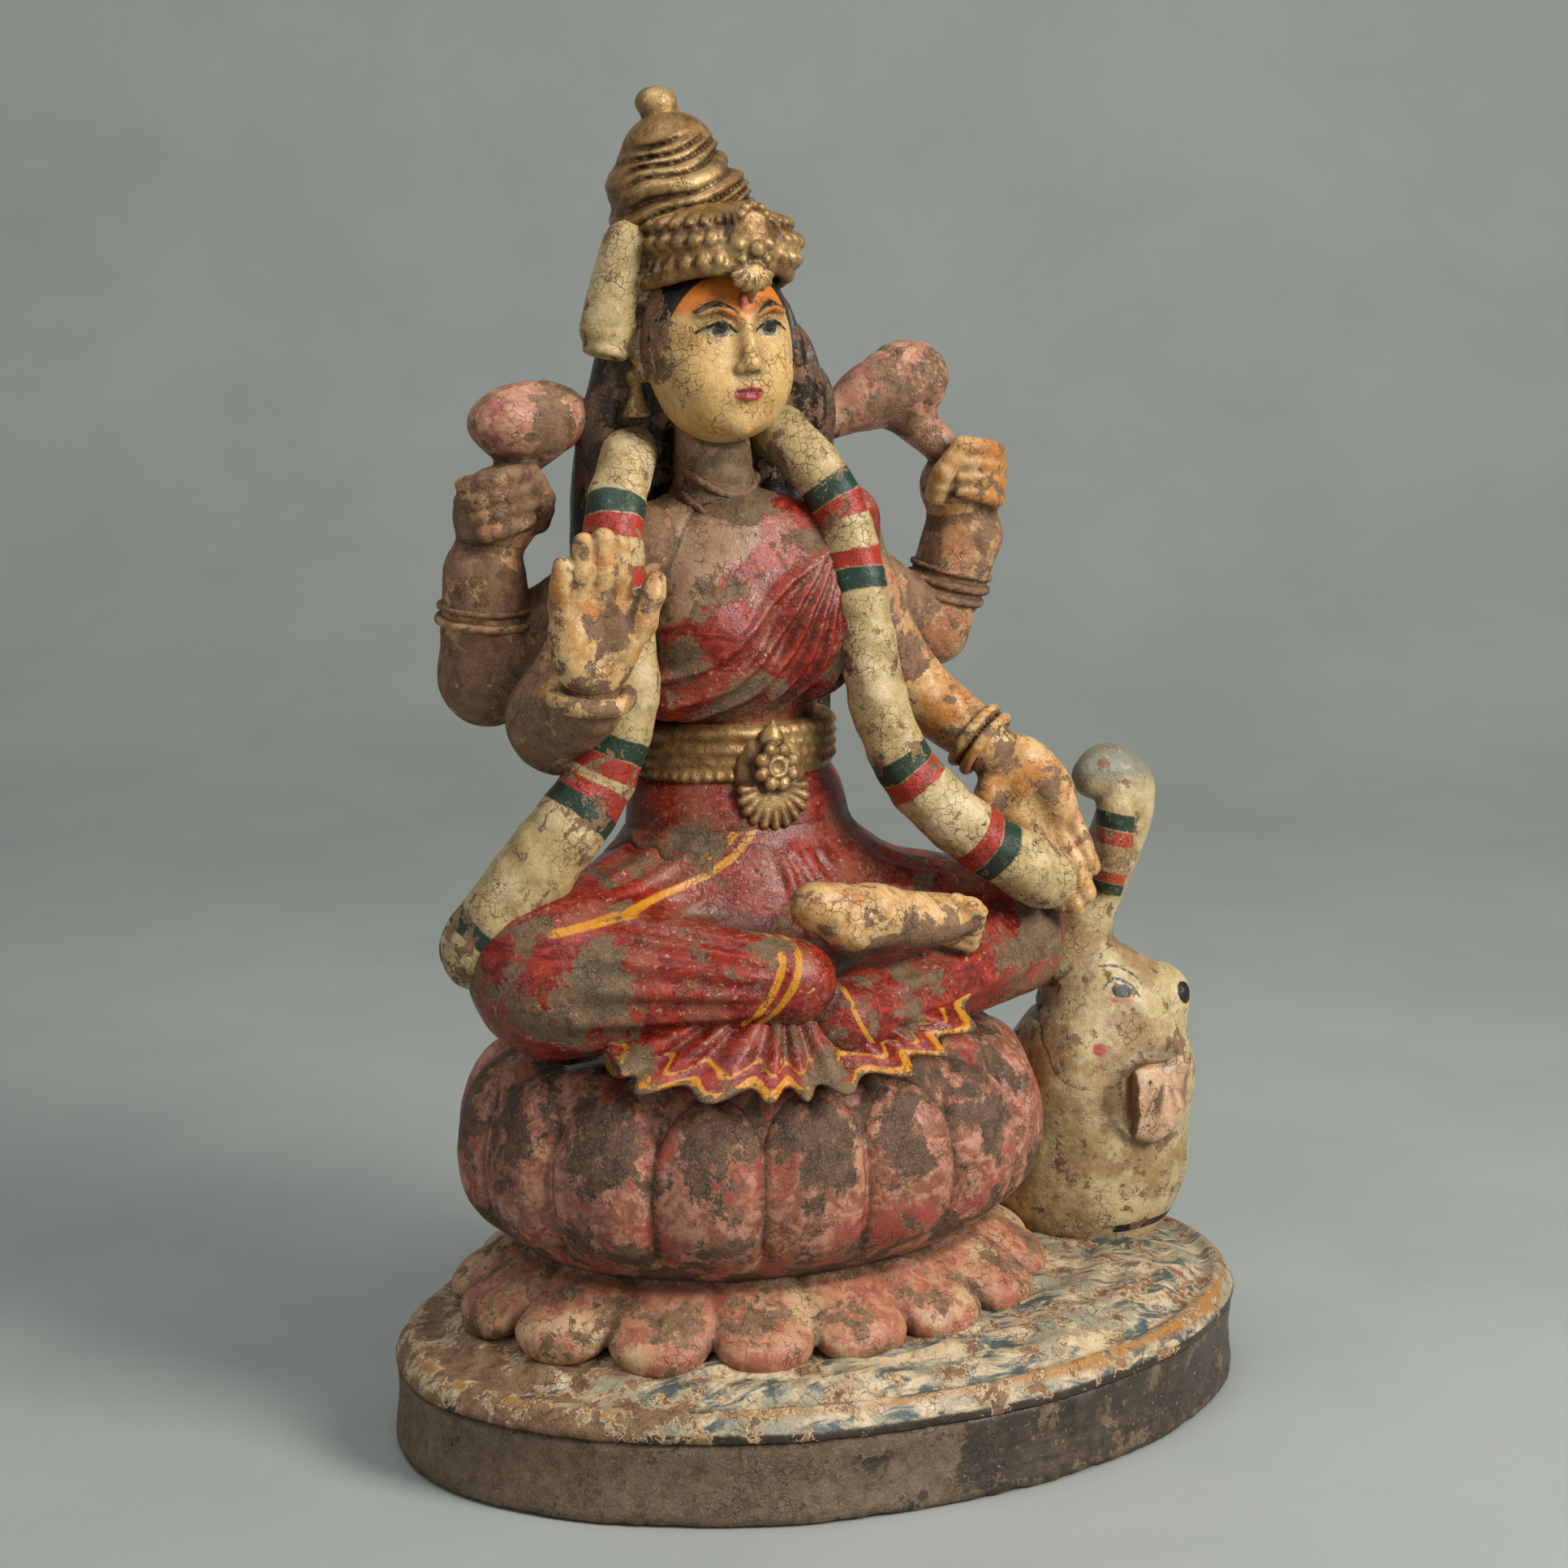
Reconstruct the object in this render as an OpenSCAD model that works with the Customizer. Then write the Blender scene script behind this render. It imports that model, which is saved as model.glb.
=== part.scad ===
// Four-armed goddess seated on a lotus with an elephant at her left side.
// A painted terracotta figure: press-moulded pieces luted together with slip before firing.
// Frame: millimetres, +Z up, the figure faces -Y, +X is her left, origin under the plinth's centre.

/* [Overall] */
// Height from the table to the tip of the crown
statue_h = 450; // [300:10:600]

/* [Plinth] */
// Length of the oval plinth, side to side
plinth_w = 312; // [312:1:330]
// Depth of the oval plinth, front to back
plinth_d = 220; // [216:1:240]
// Height of the plinth's upright band
plinth_h = 28; // [24:1:30]
// Thickness of the pressed clay walls
wall = 9; // [7:1:12]

/* [Lotus seat] */
// Petals in each row around the seat
petal_count = 16; // [14:1:18]
// Half length of the seat, side to side
seat_rx = 92; // [88:1:95]
// Half depth of the seat, front to back
seat_ry = 73; // [70:1:76]

/* [Ornament] */
// Radius of the upper run of the flower garland
garland_r = 8.5; // [7:0.5:9]
// Radius of the rod that each bangle is rolled from
bangle_rod = 2.6; // [2:0.2:3]

/* [Hidden] */

nominal_h = 450;
sides = 12;         // facets around a limb
round_fn = 14;      // facets around a rounded mass
petal_fn = 10;      // facets around a petal
tip_fn = 8;         // facets around a petal's tip
ring_fn = 32;       // facets around the seat
deck_fn = 96;       // steps around the deck
rim_w = 12;         // width of the plinth's ring where it stands on the table
rim_h = 5;          // height of the deck's edge above the band
shore_h = 20;       // how far the shore would swell if the bed were not level

// Clay and paint colours
clay = [0.44, 0.35, 0.29];
cream = [0.80, 0.74, 0.58];
skin = [0.80, 0.66, 0.42];
red = [0.62, 0.20, 0.17];
pink = [0.72, 0.45, 0.40];
gold = [0.58, 0.46, 0.28];
black = [0.08, 0.07, 0.07];
green = [0.16, 0.32, 0.27];
water = [0.55, 0.60, 0.58];

// The figure's skeleton
seat_c = [-26, 6, 0];
seat_top_z = 140;
deck_z = 46;
hip_c = [-26, 16, 176];
waist_c = [-28, 15, 232];
chest_c = [-30, 14, 278];
neck_c = [-36, 10, 322];
head_c = [-41, 2, 362];
crown_c = [-45, 17, 408];
finial_c = [-49, 27, 442];

knee_r = [-106, -8, 168];
knee_l = [64, -8, 163];
ankle_r = [-44, -56, 166];
shin_end_l = [-26, -60, 152];
foot_heel = [-34, -62, 184];
foot_toe = [22, -56, 176];

shoulder_rf = [-66, 12, 294];
elbow_rf = [-97, 6, 246];
wrist_rf = [-99, -22, 256];
palm_rf = [-100, -29, 284];
shoulder_lf = [10, 12, 296];
elbow_lf = [33, 10, 250];
wrist_lf = [54, -14, 228];
palm_lf = [69, -23, 206];
shoulder_rb = [-70, 28, 284];
elbow_rb = [-109, 35, 257];
wrist_rb = [-111, 32, 292];
fist_rb = [-107, 30, 314];
bud_rb = [-96, 28, 341];
shoulder_lb = [16, 28, 290];
elbow_lb = [60, 34, 262];
wrist_lb = [71, 31, 294];
fist_lb = [69, 29, 315];
bud_lb = [44, 35, 346];

elephant_c = [108, 16, 74];
elephant_head_c = [117, -6, 118];
trunk_path = [
    [99, -6, 138], [112, -6, 160], [126, -5, 182], [131, -3, 200], [125, -1, 215], [112, 1, 217], [104, 2, 209]
];
trunk_radii = [16, 12.5, 10.5, 9.5, 8.5, 7.5, 6];
garland_r_path = [
    [-60, 6, 326], [-72, -4, 316], [-80, -9, 298], [-82, -13, 276], [-82, -14, 254], [-90, -12, 230],
    [-104, -12, 212], [-117, -6, 192], [-127, 2, 174]
];
garland_l_path = [
    [-14, 4, 334], [-8, -6, 324], [-1, -14, 306], [1, -21, 280], [5, -25, 250], [14, -28, 226],
    [32, -33, 206], [56, -37, 190], [80, -35, 174]
];

// Points and vectors
function unit(v) = v / norm(v);
function mix(a, b, t) = a + (b - a) * t;
function last(v) = v[len(v) - 1];
function tangent(path, i) =
    unit(path[min(i + 1, len(path) - 1)] - path[max(i - 1, 0)]);
// A frame carried along the path: each side vector is the last one, squared to the new tangent
function sideways(path, i) =
    i == 0 ? unit(cross(tangent(path, 0), abs(tangent(path, 0)[2]) > 0.9 ? [1, 0, 0] : [0, 0, 1]))
    : let (s = sideways(path, i - 1), t = tangent(path, i)) unit(s - t * (s * t));
function ring(c, s, t, r, n) =
    let (u = cross(t, s)) [for (k = [0:n - 1]) c + r * (cos(360 * k / n) * s + sin(360 * k / n) * u)];

// A tube with a round end at each end, swept through the path's points; n facets around
module tube(path, radii, n = sides) {
    e = len(path) - 1;
    start = [for (a = [75, 40])
        ring(path[0] - tangent(path, 0) * radii[0] * sin(a), sideways(path, 0), tangent(path, 0),
            radii[0] * cos(a), n)];
    middle = [for (i = [0:e]) ring(path[i], sideways(path, i), tangent(path, i), radii[i], n)];
    end = [for (a = [40, 75])
        ring(path[e] + tangent(path, e) * radii[e] * sin(a), sideways(path, e), tangent(path, e),
            radii[e] * cos(a), n)];
    rings = concat(start, middle, end);
    m = len(rings);
    faces = concat(
        [[for (k = [0:n - 1]) k]],
        [for (j = [0:m - 2], k = [0:n - 1])
            let (a = j * n + k, b = j * n + (k + 1) % n) [a, a + n, b + n, b]],
        [[for (k = [n - 1:-1:0]) (m - 1) * n + k]]
    );
    polyhedron([for (r = rings) each r], faces, convexity = 6);
}

module limb(a, b, ra, rb, n = sides) tube([a, b], [ra, rb], n);

// An ellipsoid at a point, turned about X, Y and Z
module blob(c, r, turn = [0, 0, 0]) translate(c) rotate(turn) scale(r) sphere(r = 1, $fn = round_fn);

// One skin for a rounded piece, worked out whole
module moulded() resize([0, 0, 0]) children();

// A piece trimmed to sit face to face on what it is luted to: the first child less the others
module seated() moulded() difference() {
    children(0);
    for (i = [1:1:$children - 1]) children(i);
}

// A solid turned about the seat's axis and drawn out to the seat's oval
module oval(rx, ry) translate(seat_c) scale([rx / ry, 1, 1]) rotate_extrude($fn = ring_fn) children();

// ---- plinth ----
module plinth_oval(inset, h) linear_extrude(h) scale([1, (plinth_d - 2 * inset) / (plinth_w - 2 * inset)])
    circle(r = plinth_w / 2 - inset, $fn = 96);

// The band is drawn a little too deep, then trimmed flat where it stands
module plinth_band() color(clay) difference() {
    translate([0, 0, -1]) plinth_oval(0, plinth_h + 1);
    translate([0, 0, -2]) plinth_oval(rim_w, plinth_h + 3);
    translate([-plinth_w, -plinth_d, -4]) cube([2 * plinth_w, 2 * plinth_d, 4]);
}

// The deck's body: an upright edge, a swelling shore and a level bed for the lotus
module deck_body(n) {
    translate([0, 0, plinth_h]) plinth_oval(0, rim_h);
    intersection() {
        translate([0, 0, plinth_h + rim_h]) scale([plinth_w / 2 - 3, plinth_d / 2 - 2, shore_h])
            sphere(r = 1, $fn = n);
        translate([0, 0, plinth_h]) plinth_oval(1, deck_z - plinth_h);
    }
}

// The deck is pressed thin, with a shallow hollow underneath
module water_deck() color(water) difference() {
    deck_body(deck_fn);
    translate([0, 0, plinth_h - 2]) scale([plinth_w / 2 - 26, plinth_d / 2 - 24, 12]) sphere(r = 1, $fn = deck_fn);
}

// Everything below the deck's top, for trimming what stands on it
module deck_below() {
    deck_body(ring_fn * 2);
    plinth_oval(-9, plinth_h + rim_h);
}

// ---- lotus seat ----
module seat_solid() oval(seat_rx, seat_ry) polygon([
    [0, deck_z], [70, deck_z], [70, 54], [64, 62], [58, 70],
    for (a = [-50:20:50]) [seat_ry - 44 + 44 * cos(a), 104 + 30 * sin(a)],
    [0, seat_top_z]
]);

module seat_hollow() oval(seat_rx, seat_ry) polygon([
    [0, deck_z - 4], [56, deck_z - 4], [48, 68],
    for (a = [-50:25:50]) [seat_ry - 50 + 40 * cos(a), 102 + 22 * sin(a)],
    [0, seat_top_z - wall - 4]
]);

module lotus_seat() color(pink) moulded() difference() {
    seat_solid();
    seat_hollow();
}

// Even steps along an ellipse's edge, as angles
function evened(a, rx, ry) = a + 28.65 * (rx * rx - ry * ry) / (rx * rx + ry * ry) / 2 * sin(2 * a);

// Petals stand round the oval at even steps, each leaning outwards by tilt
module petal_row(rx, ry, z, size, tilt, start, n) for (i = [0:petal_count - 1])
    let (a = evened(360 * (i + start) / petal_count, rx, ry))
        translate([seat_c[0] + rx * cos(a), seat_c[1] + ry * sin(a), z])
            rotate([0, 0, atan2(sin(a) / ry, cos(a) / rx)]) rotate([0, tilt, 0])
                scale(size) sphere(r = 1, $fn = n);

function petal_half(rx, ry) = PI * (rx + ry) / 2 / petal_count;

module lower_petals_solid() petal_row(96, 76, 56, [8, petal_half(96, 76) - 0.5, 22], -58, 0, tip_fn);
module upper_petals_solid() petal_row(95, 76, 102, [11, petal_half(95, 76) - 0.3, 32], 0, 0.5, petal_fn);
module rim_petals_solid() petal_row(88, 69, 124, [6, petal_half(88, 69) - 3, 16], 0, 0, tip_fn);

module lower_petals() color(pink) seated() { lower_petals_solid(); deck_below(); seat_solid(); }
module upper_petals() color(pink) seated() { upper_petals_solid(); seat_solid(); }
module rim_petals() color(pink) seated() { rim_petals_solid(); seat_solid(); upper_petals_solid(); }

// ---- legs and skirt ----
module lap_solid() hull() {
    blob(hip_c, [44, 34, 26]);
    blob(hip_c + [0, -24, -14], [46, 34, 24]);
}
module right_leg_solid() union() {
    limb([-52, 10, 172], knee_r, 31, 27);
    limb(knee_r + [0, -4, -4], ankle_r, 26, 15);
}
module left_leg_solid() union() {
    limb([0, 10, 170], knee_l, 28, 22);
    limb(knee_l + [0, -8, -6], shin_end_l, 18, 14);
}
module right_foot_solid() hull() {
    blob(foot_heel, [12, 10, 11]);
    blob(mix(foot_heel, foot_toe, 0.6), [16, 11, 10]);
    blob(foot_toe, [11, 9, 8]);
}
module hem_solid() hull() {
    blob([-32, -48, 146], [52, 20, 8]);
    blob([-34, -68, 139], [60, 16, 7]);
}

// The lap is pressed in a mould, so it is a shell open underneath, where it is luted to the seat
module lap_hollow() blob(hip_c + [0, -10, -18], [34, 38, 30]);

module lap() color(red) seated() { lap_solid(); seat_solid(); lap_hollow(); }
module right_leg() color(red) seated() { right_leg_solid(); seat_solid(); lap_solid(); }
module left_leg() color(red) seated() { left_leg_solid(); seat_solid(); lap_solid(); right_leg_solid(); }
module right_foot() color(skin) seated() { right_foot_solid(); lap_solid(); right_leg_solid(); left_leg_solid(); }
module sari_hem() color(red) seated() {
    hem_solid();
    seat_solid();
    lap_solid();
    right_leg_solid();
    left_leg_solid();
    upper_petals_solid();
}

// ---- torso ----
module torso_solid() union() {
    hull() { blob(chest_c + [0, 2, 4], [42, 25, 30]); blob(waist_c + [0, 0, 12], [30, 22, 14]); }
    hull() { blob(waist_c + [0, 0, 12], [30, 22, 14]); blob(waist_c + [0, 0, -22], [34, 25, 22]); }
}
module torso_hollow() hull() {
    blob(chest_c + [0, 2, 0], [42 - wall * 1.6, 25 - wall, 20]);
    translate(waist_c + [0, 0, -60]) cylinder(r = 25 - wall, h = 20, $fn = round_fn);
}
module drape_solid() union() {
    blob([-49, -6, 272], [22, 20, 23]);
    blob([-14, -5, 272], [22, 20, 23]);
    limb([-62, -2, 254], [-32, -9, 262], 11, 12);
    limb([-28, -7, 280], [8, 4, 306], 15, 12);
}
module belt_solid(grow) translate(waist_c + [0, 0, -12]) scale([36 + grow, 28 + grow, 1])
    cylinder(r = 1, h = 20, $fn = 32);
module buckle_solid() union() {
    blob([-29, -15, 231], [13, 6, 12]);
    blob([-28, -16, 215], [12, 5, 9]);
}

module torso() color(clay) moulded() difference() { torso_solid(); lap_solid(); torso_hollow(); }
module sari_drape() color(red) seated() { drape_solid(); torso_solid(); }
module waist_belt() color(gold) seated() { belt_solid(0); torso_solid(); lap_solid(); }
module belt_buckle() color(gold) seated() { buckle_solid(); belt_solid(0); torso_solid(); lap_solid(); }

// ---- head ----
module neck_solid() limb([-32, 12, 306], neck_c + [-2, -2, 14], 16, 12);
module head_solid() hull() {
    blob(head_c + [0, 2, 12], [25, 27, 23]);
    blob(head_c + [0, -5, -12], [19, 18, 16]);
}
module hair_solid() union() {
    hull() { blob([-40, 22, 372], [25, 17, 24]); blob([-34, 34, 318], [48, 11, 26]); }
    hull() { blob([-34, 34, 318], [48, 11, 26]); blob([-30, 38, 262], [40, 10, 44]); }
}
module tiara_solid() hull() {
    blob([-39, 0, 392], [26, 26, 9]);
    blob([-40, 4, 402], [25, 24, 9]);
}
module crown_solid() union() {
    hull() { blob([-44, 16, 404], [26, 25, 10]); blob([-46, 20, 415], [24, 23, 9]); }
    hull() { blob([-46, 20, 415], [22, 22, 11]); blob([-47, 24, 429], [15, 15, 9]); }
}
module finial_solid() union() {
    blob(finial_c, [8, 8, 8]);
    limb([-47, 25, 432], [-48, 26, 437], 6, 6);
}
module tuft_solid() limb([-67, 14, 396], [-74, 12, 374], 9.5, 9);
// A stud on the lobe with a bell hanging from it
module earring(c) translate(c) {
    sphere(r = 4.6, $fn = 20);
    translate([0, 0, -14]) cylinder(r1 = 5.2, r2 = 2.2, h = 11, $fn = 20);
}
module necklace_solid() translate([-33, 3, 309]) rotate([32, 0, 0]) scale([23, 18, 3])
    cylinder(r = 1, h = 2, center = true, $fn = 32);

module neck() color(skin) seated() { neck_solid(); torso_solid(); drape_solid(); }
module head() color(skin) seated() { head_solid(); neck_solid(); }
module hair_back() color(black) seated() { hair_solid(); head_solid(); neck_solid(); torso_solid(); drape_solid(); }
module tiara() color(gold) seated() { tiara_solid(); head_solid(); hair_solid(); }
module crown() color(gold) seated() { crown_solid(); head_solid(); hair_solid(); tiara_solid(); }
module crown_finial() color(gold) seated() { finial_solid(); crown_solid(); }
module hair_garland() color(cream) seated() { tuft_solid(); head_solid(); hair_solid(); tiara_solid(); crown_solid(); }
module earrings() color(gold) {
    earring([-65, 12, 356]);
    earring([-17, 12, 356]);
}
module necklace() color(gold) seated() { necklace_solid(); neck_solid(); torso_solid(); drape_solid(); hair_solid(); }

// ---- arms ----
module rf_upper_solid() limb(shoulder_rf, elbow_rf, 15, 15);
module rf_fore_solid() limb(elbow_rf + [0, -2, 0], wrist_rf, 18, 12);
module lf_upper_solid() limb(shoulder_lf, elbow_lf, 15, 13);
module lf_fore_solid() limb(elbow_lf, wrist_lf, 13, 9.5);
module rb_upper_solid() limb(shoulder_rb, elbow_rb, 15, 15);
module rb_fore_solid() limb(elbow_rb, wrist_rb, 16, 14);
module lb_upper_solid() limb(shoulder_lb, elbow_lb, 13, 12);
module lb_fore_solid() limb(elbow_lb, wrist_lb, 13, 14.5);

// Axes for a part: its own x, y and z written in the figure's frame
module placed(at, x, y, z) multmatrix([
    [x[0], y[0], z[0], at[0]], [x[1], y[1], z[1], at[1]], [x[2], y[2], z[2], at[2]], [0, 0, 0, 1]
]) children();

// An open right hand: fingers held together along +Z, palm towards -Y, thumb to +X
module open_hand() union() {
    hull() {
        blob([0, 0, -4], [14, 8, 15]);
        blob([-1, -1, 22], [11, 4.5, 9]);
    }
    limb([9, -2, -8], [18, -4, 9], 5.5, 4);
}
module blessing_solid() placed(palm_rf, [1, 0, 0], [0, 1, 0.1], [0, -0.1, 1]) open_hand();
module giving_solid()
    let (along = unit([24, -17, -48]), across = unit([1, 0, 0.5]))
        placed(palm_lf, across, unit(cross(across, along)), along) open_hand();
module fist_solid(c) union() {
    blob(c, [16, 14, 16]);
    blob(c + [0, -7, 6], [13, 9, 9]);
}
module bud_solid(c, lean) union() {
    blob(c, [21, 16, 14.5], [0, lean, 0]);
}
module stem_solid(a, b) limb(a, b, 7, 7);

module right_front_upper_arm() color(clay) seated() { rf_upper_solid(); torso_solid(); drape_solid(); hair_solid(); }
module right_front_forearm() color(clay) seated() { rf_fore_solid(); rf_upper_solid(); }
module blessing_hand() color(skin) seated() { blessing_solid(); rf_fore_solid(); rf_upper_solid(); }
module left_front_upper_arm() color(red) seated() { lf_upper_solid(); torso_solid(); drape_solid(); hair_solid(); }
module left_front_forearm() color(skin) seated() { lf_fore_solid(); lf_upper_solid(); torso_solid(); }
module giving_hand() color(skin) seated() { giving_solid(); lf_fore_solid(); left_leg_solid(); }
module right_back_upper_arm() color(clay) seated() {
    rb_upper_solid();
    torso_solid();
    hair_solid();
    drape_solid();
    rf_upper_solid();
    rf_fore_solid();
}
module right_back_forearm() color(clay) seated() { rb_fore_solid(); rb_upper_solid(); rf_upper_solid(); rf_fore_solid(); }
module right_fist() color(clay) seated() { fist_solid(fist_rb); rb_fore_solid(); hair_solid(); }
module right_lotus_bud() color(pink) seated() {
    union() { bud_solid(bud_rb, -4); stem_solid(fist_rb + [4, 0, 8], bud_rb); }
    fist_solid(fist_rb);
    hair_solid();
}
module left_back_upper_arm() color(clay) seated() {
    lb_upper_solid();
    torso_solid();
    hair_solid();
    drape_solid();
    lf_upper_solid();
}
module left_back_forearm() color(clay) seated() { lb_fore_solid(); lb_upper_solid(); lf_fore_solid(); lf_upper_solid(); }
module left_fist() color(skin) seated() { fist_solid(fist_lb); lb_fore_solid(); }
module left_lotus_bud() color(pink) seated() {
    union() { bud_solid(bud_lb, -22); stem_solid(fist_lb + [-6, 0, 8], bud_lb + [4, 0, -4]); }
    fist_solid(fist_lb);
    hair_solid();
}

// A ring round a limb at c, its hole along axis v
module bangle_ring(c, v, r) translate(c)
    rotate([0, acos(v[2] / norm(v)), atan2(v[1], v[0])]) rotate_extrude($fn = 32)
        translate([r + bangle_rod, 0]) circle(r = bangle_rod, $fn = 16);

module front_bangles() color(gold) {
    bangle_ring(wrist_rf + [0, -3, 4], palm_rf - wrist_rf, 9);
    bangle_ring(mix(elbow_lf, wrist_lf, 0.9), wrist_lf - elbow_lf, 9.5);
}
module back_bangles() color(gold) {
    bangle_ring(mix(elbow_rb, wrist_rb, 0.62), wrist_rb - elbow_rb, 14.2);
    bangle_ring(mix(elbow_lb, wrist_lb, 0.5), wrist_lb - elbow_lb, 13.4);
}

// ---- garland ----
function swell(path, r, r_end) = [for (i = [0:len(path) - 1]) mix(r, r_end, pow(i / (len(path) - 1), 2))];
module garland_r_solid() tube(garland_r_path, swell(garland_r_path, garland_r, 14));
module garland_l_solid() tube(garland_l_path, swell(garland_l_path, garland_r, 11));
module body_solids() union() {
    torso_solid();
    drape_solid();
    neck_solid();
    head_solid();
    hair_solid();
    lap_solid();
    belt_solid(0);
    necklace_solid();
}
module garland_right() color(cream) seated() {
    garland_r_solid();
    body_solids();
    right_leg_solid();
    rf_upper_solid();
    rf_fore_solid();
    rb_upper_solid();
    blessing_solid();
}
module garland_left() color(cream) seated() {
    garland_l_solid();
    body_solids();
    left_leg_solid();
    lf_upper_solid();
    lf_fore_solid();
    giving_solid();
    buckle_solid();
}

// ---- elephant ----
module elephant_body_solid() hull() {
    blob(elephant_c, [41, 40, 40]);
    blob(elephant_c + [0, 26, -6], [36, 34, 34]);
}
module elephant_head_solid() hull() {
    blob(elephant_head_c, [25, 22, 24]);
    blob(elephant_head_c + [12, 0, 0], [17, 19, 20]);
    blob(elephant_head_c + [-12, 0, 18], [16, 16, 15]);
}
module elephant_trunk_solid() tube(trunk_path, trunk_radii);
module ear_solid(c, lean) blob(c, [12, 5, 16], [0, 8, lean]);

// Pressed in a mould like the lap: a shell open where it is luted to the deck
module elephant_hollow() blob(elephant_c + [0, 10, -16], [30, 44, 40]);

module elephant_body() color(cream) seated() {
    elephant_body_solid();
    elephant_hollow();
    deck_below();
    seat_solid();
    upper_petals_solid();
    lower_petals_solid();
}
module elephant_head() color(cream) seated() {
    elephant_head_solid();
    elephant_body_solid();
    upper_petals_solid();
    left_leg_solid();
}
module elephant_trunk() color(cream) seated() {
    elephant_trunk_solid();
    elephant_head_solid();
    left_leg_solid();
    giving_solid();
    garland_l_solid();
}
module elephant_ears() color(cream) seated() {
    union() { ear_solid([127, -27, 92], -10); ear_solid([131, 16, 108], 30); }
    elephant_head_solid();
    elephant_body_solid();
}

module piece(name) {
    scale(statue_h / nominal_h) children();
}

piece("plinth_band") plinth_band();
piece("water_deck") water_deck();
piece("lotus_seat") lotus_seat();
piece("lower_petals") lower_petals();
piece("upper_petals") upper_petals();
piece("rim_petals") rim_petals();
piece("lap") lap();
piece("right_leg") right_leg();
piece("left_leg") left_leg();
piece("right_foot") right_foot();
piece("sari_hem") sari_hem();
piece("torso") torso();
piece("sari_drape") sari_drape();
piece("waist_belt") waist_belt();
piece("belt_buckle") belt_buckle();
piece("neck") neck();
piece("head") head();
piece("hair_back") hair_back();
piece("tiara") tiara();
piece("crown") crown();
piece("crown_finial") crown_finial();
piece("hair_garland") hair_garland();
piece("earrings") earrings();
piece("necklace") necklace();
piece("right_front_upper_arm") right_front_upper_arm();
piece("right_front_forearm") right_front_forearm();
piece("blessing_hand") blessing_hand();
piece("left_front_upper_arm") left_front_upper_arm();
piece("left_front_forearm") left_front_forearm();
piece("giving_hand") giving_hand();
piece("right_back_upper_arm") right_back_upper_arm();
piece("right_back_forearm") right_back_forearm();
piece("right_fist") right_fist();
piece("right_lotus_bud") right_lotus_bud();
piece("left_back_upper_arm") left_back_upper_arm();
piece("left_back_forearm") left_back_forearm();
piece("left_fist") left_fist();
piece("left_lotus_bud") left_lotus_bud();
piece("front_bangles") front_bangles();
piece("back_bangles") back_bangles();
piece("garland_right") garland_right();
piece("garland_left") garland_left();
piece("elephant_body") elephant_body();
piece("elephant_head") elephant_head();
piece("elephant_trunk") elephant_trunk();
piece("elephant_ears") elephant_ears();
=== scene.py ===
"""Four-armed goddess seated on a lotus: the painted surface of the CAD figure.

Every piece is sculpted as a signed distance field in millimetres, in the CAD part's frame,
turned into a mesh and painted with procedural materials.
"""

import math
from concurrent.futures import ThreadPoolExecutor

import bpy
import numpy as np
from mathutils import Euler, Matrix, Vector


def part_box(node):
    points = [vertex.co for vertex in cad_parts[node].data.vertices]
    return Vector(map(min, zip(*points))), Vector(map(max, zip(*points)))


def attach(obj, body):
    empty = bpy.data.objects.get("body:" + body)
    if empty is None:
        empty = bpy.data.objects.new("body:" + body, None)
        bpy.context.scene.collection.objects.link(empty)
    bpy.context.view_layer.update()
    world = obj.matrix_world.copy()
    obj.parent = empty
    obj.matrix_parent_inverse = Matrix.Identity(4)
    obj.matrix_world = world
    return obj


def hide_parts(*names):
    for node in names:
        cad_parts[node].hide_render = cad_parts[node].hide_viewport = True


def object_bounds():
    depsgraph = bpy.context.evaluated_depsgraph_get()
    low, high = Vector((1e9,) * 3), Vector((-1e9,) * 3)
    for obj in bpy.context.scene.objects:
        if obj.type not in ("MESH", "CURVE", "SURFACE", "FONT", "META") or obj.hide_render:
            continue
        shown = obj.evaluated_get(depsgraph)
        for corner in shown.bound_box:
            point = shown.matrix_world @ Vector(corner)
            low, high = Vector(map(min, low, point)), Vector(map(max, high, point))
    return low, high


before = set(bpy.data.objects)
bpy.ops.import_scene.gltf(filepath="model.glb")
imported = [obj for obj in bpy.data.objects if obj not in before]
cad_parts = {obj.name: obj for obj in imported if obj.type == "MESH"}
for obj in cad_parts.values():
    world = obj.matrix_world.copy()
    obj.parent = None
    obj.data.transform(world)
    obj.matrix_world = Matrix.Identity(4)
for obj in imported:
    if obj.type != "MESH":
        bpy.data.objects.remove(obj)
CAD_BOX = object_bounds()
F = np.float32
MM = 0.001              # the sculpt is worked in millimetres, the scene in metres

# ---------------------------------------------------------------------------
# Sculpting: a shape is a function that gives the signed distance (mm, negative
# inside) at a cloud of points.
# ---------------------------------------------------------------------------
class Far:
    """The distance of a shape that is too far away to matter; sums with it leave it as it is."""

    __array_ufunc__ = None

    def same(self, *others):
        return self

    __add__ = __radd__ = __sub__ = __rsub__ = __mul__ = __rmul__ = __neg__ = same


FAR = Far()
REACH = 14.0            # a shape further off than this from all points of a cloud is skipped
BLOCK = 4               # grid cells along a block's edge
CHUNK = 8               # blocks along the edge of one batch
WORKERS = 4


class Cloud:
    """Sample points, with a ball round them so that far shapes can be skipped."""

    def __init__(self, x, y, z):
        self.x, self.y, self.z = x, y, z
        low = np.array([x.min(), y.min(), z.min()], dtype=float)
        high = np.array([x.max(), y.max(), z.max()], dtype=float)
        self.low, self.high = low, high
        self.middle = (low + high) / 2
        self.radius = float(np.linalg.norm(high - low)) / 2

    def misses(self, centre, radius):
        gap = np.linalg.norm(self.middle - centre) - self.radius - radius
        return gap > REACH


def vec(*v):
    return np.array(v, dtype=float)


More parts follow.
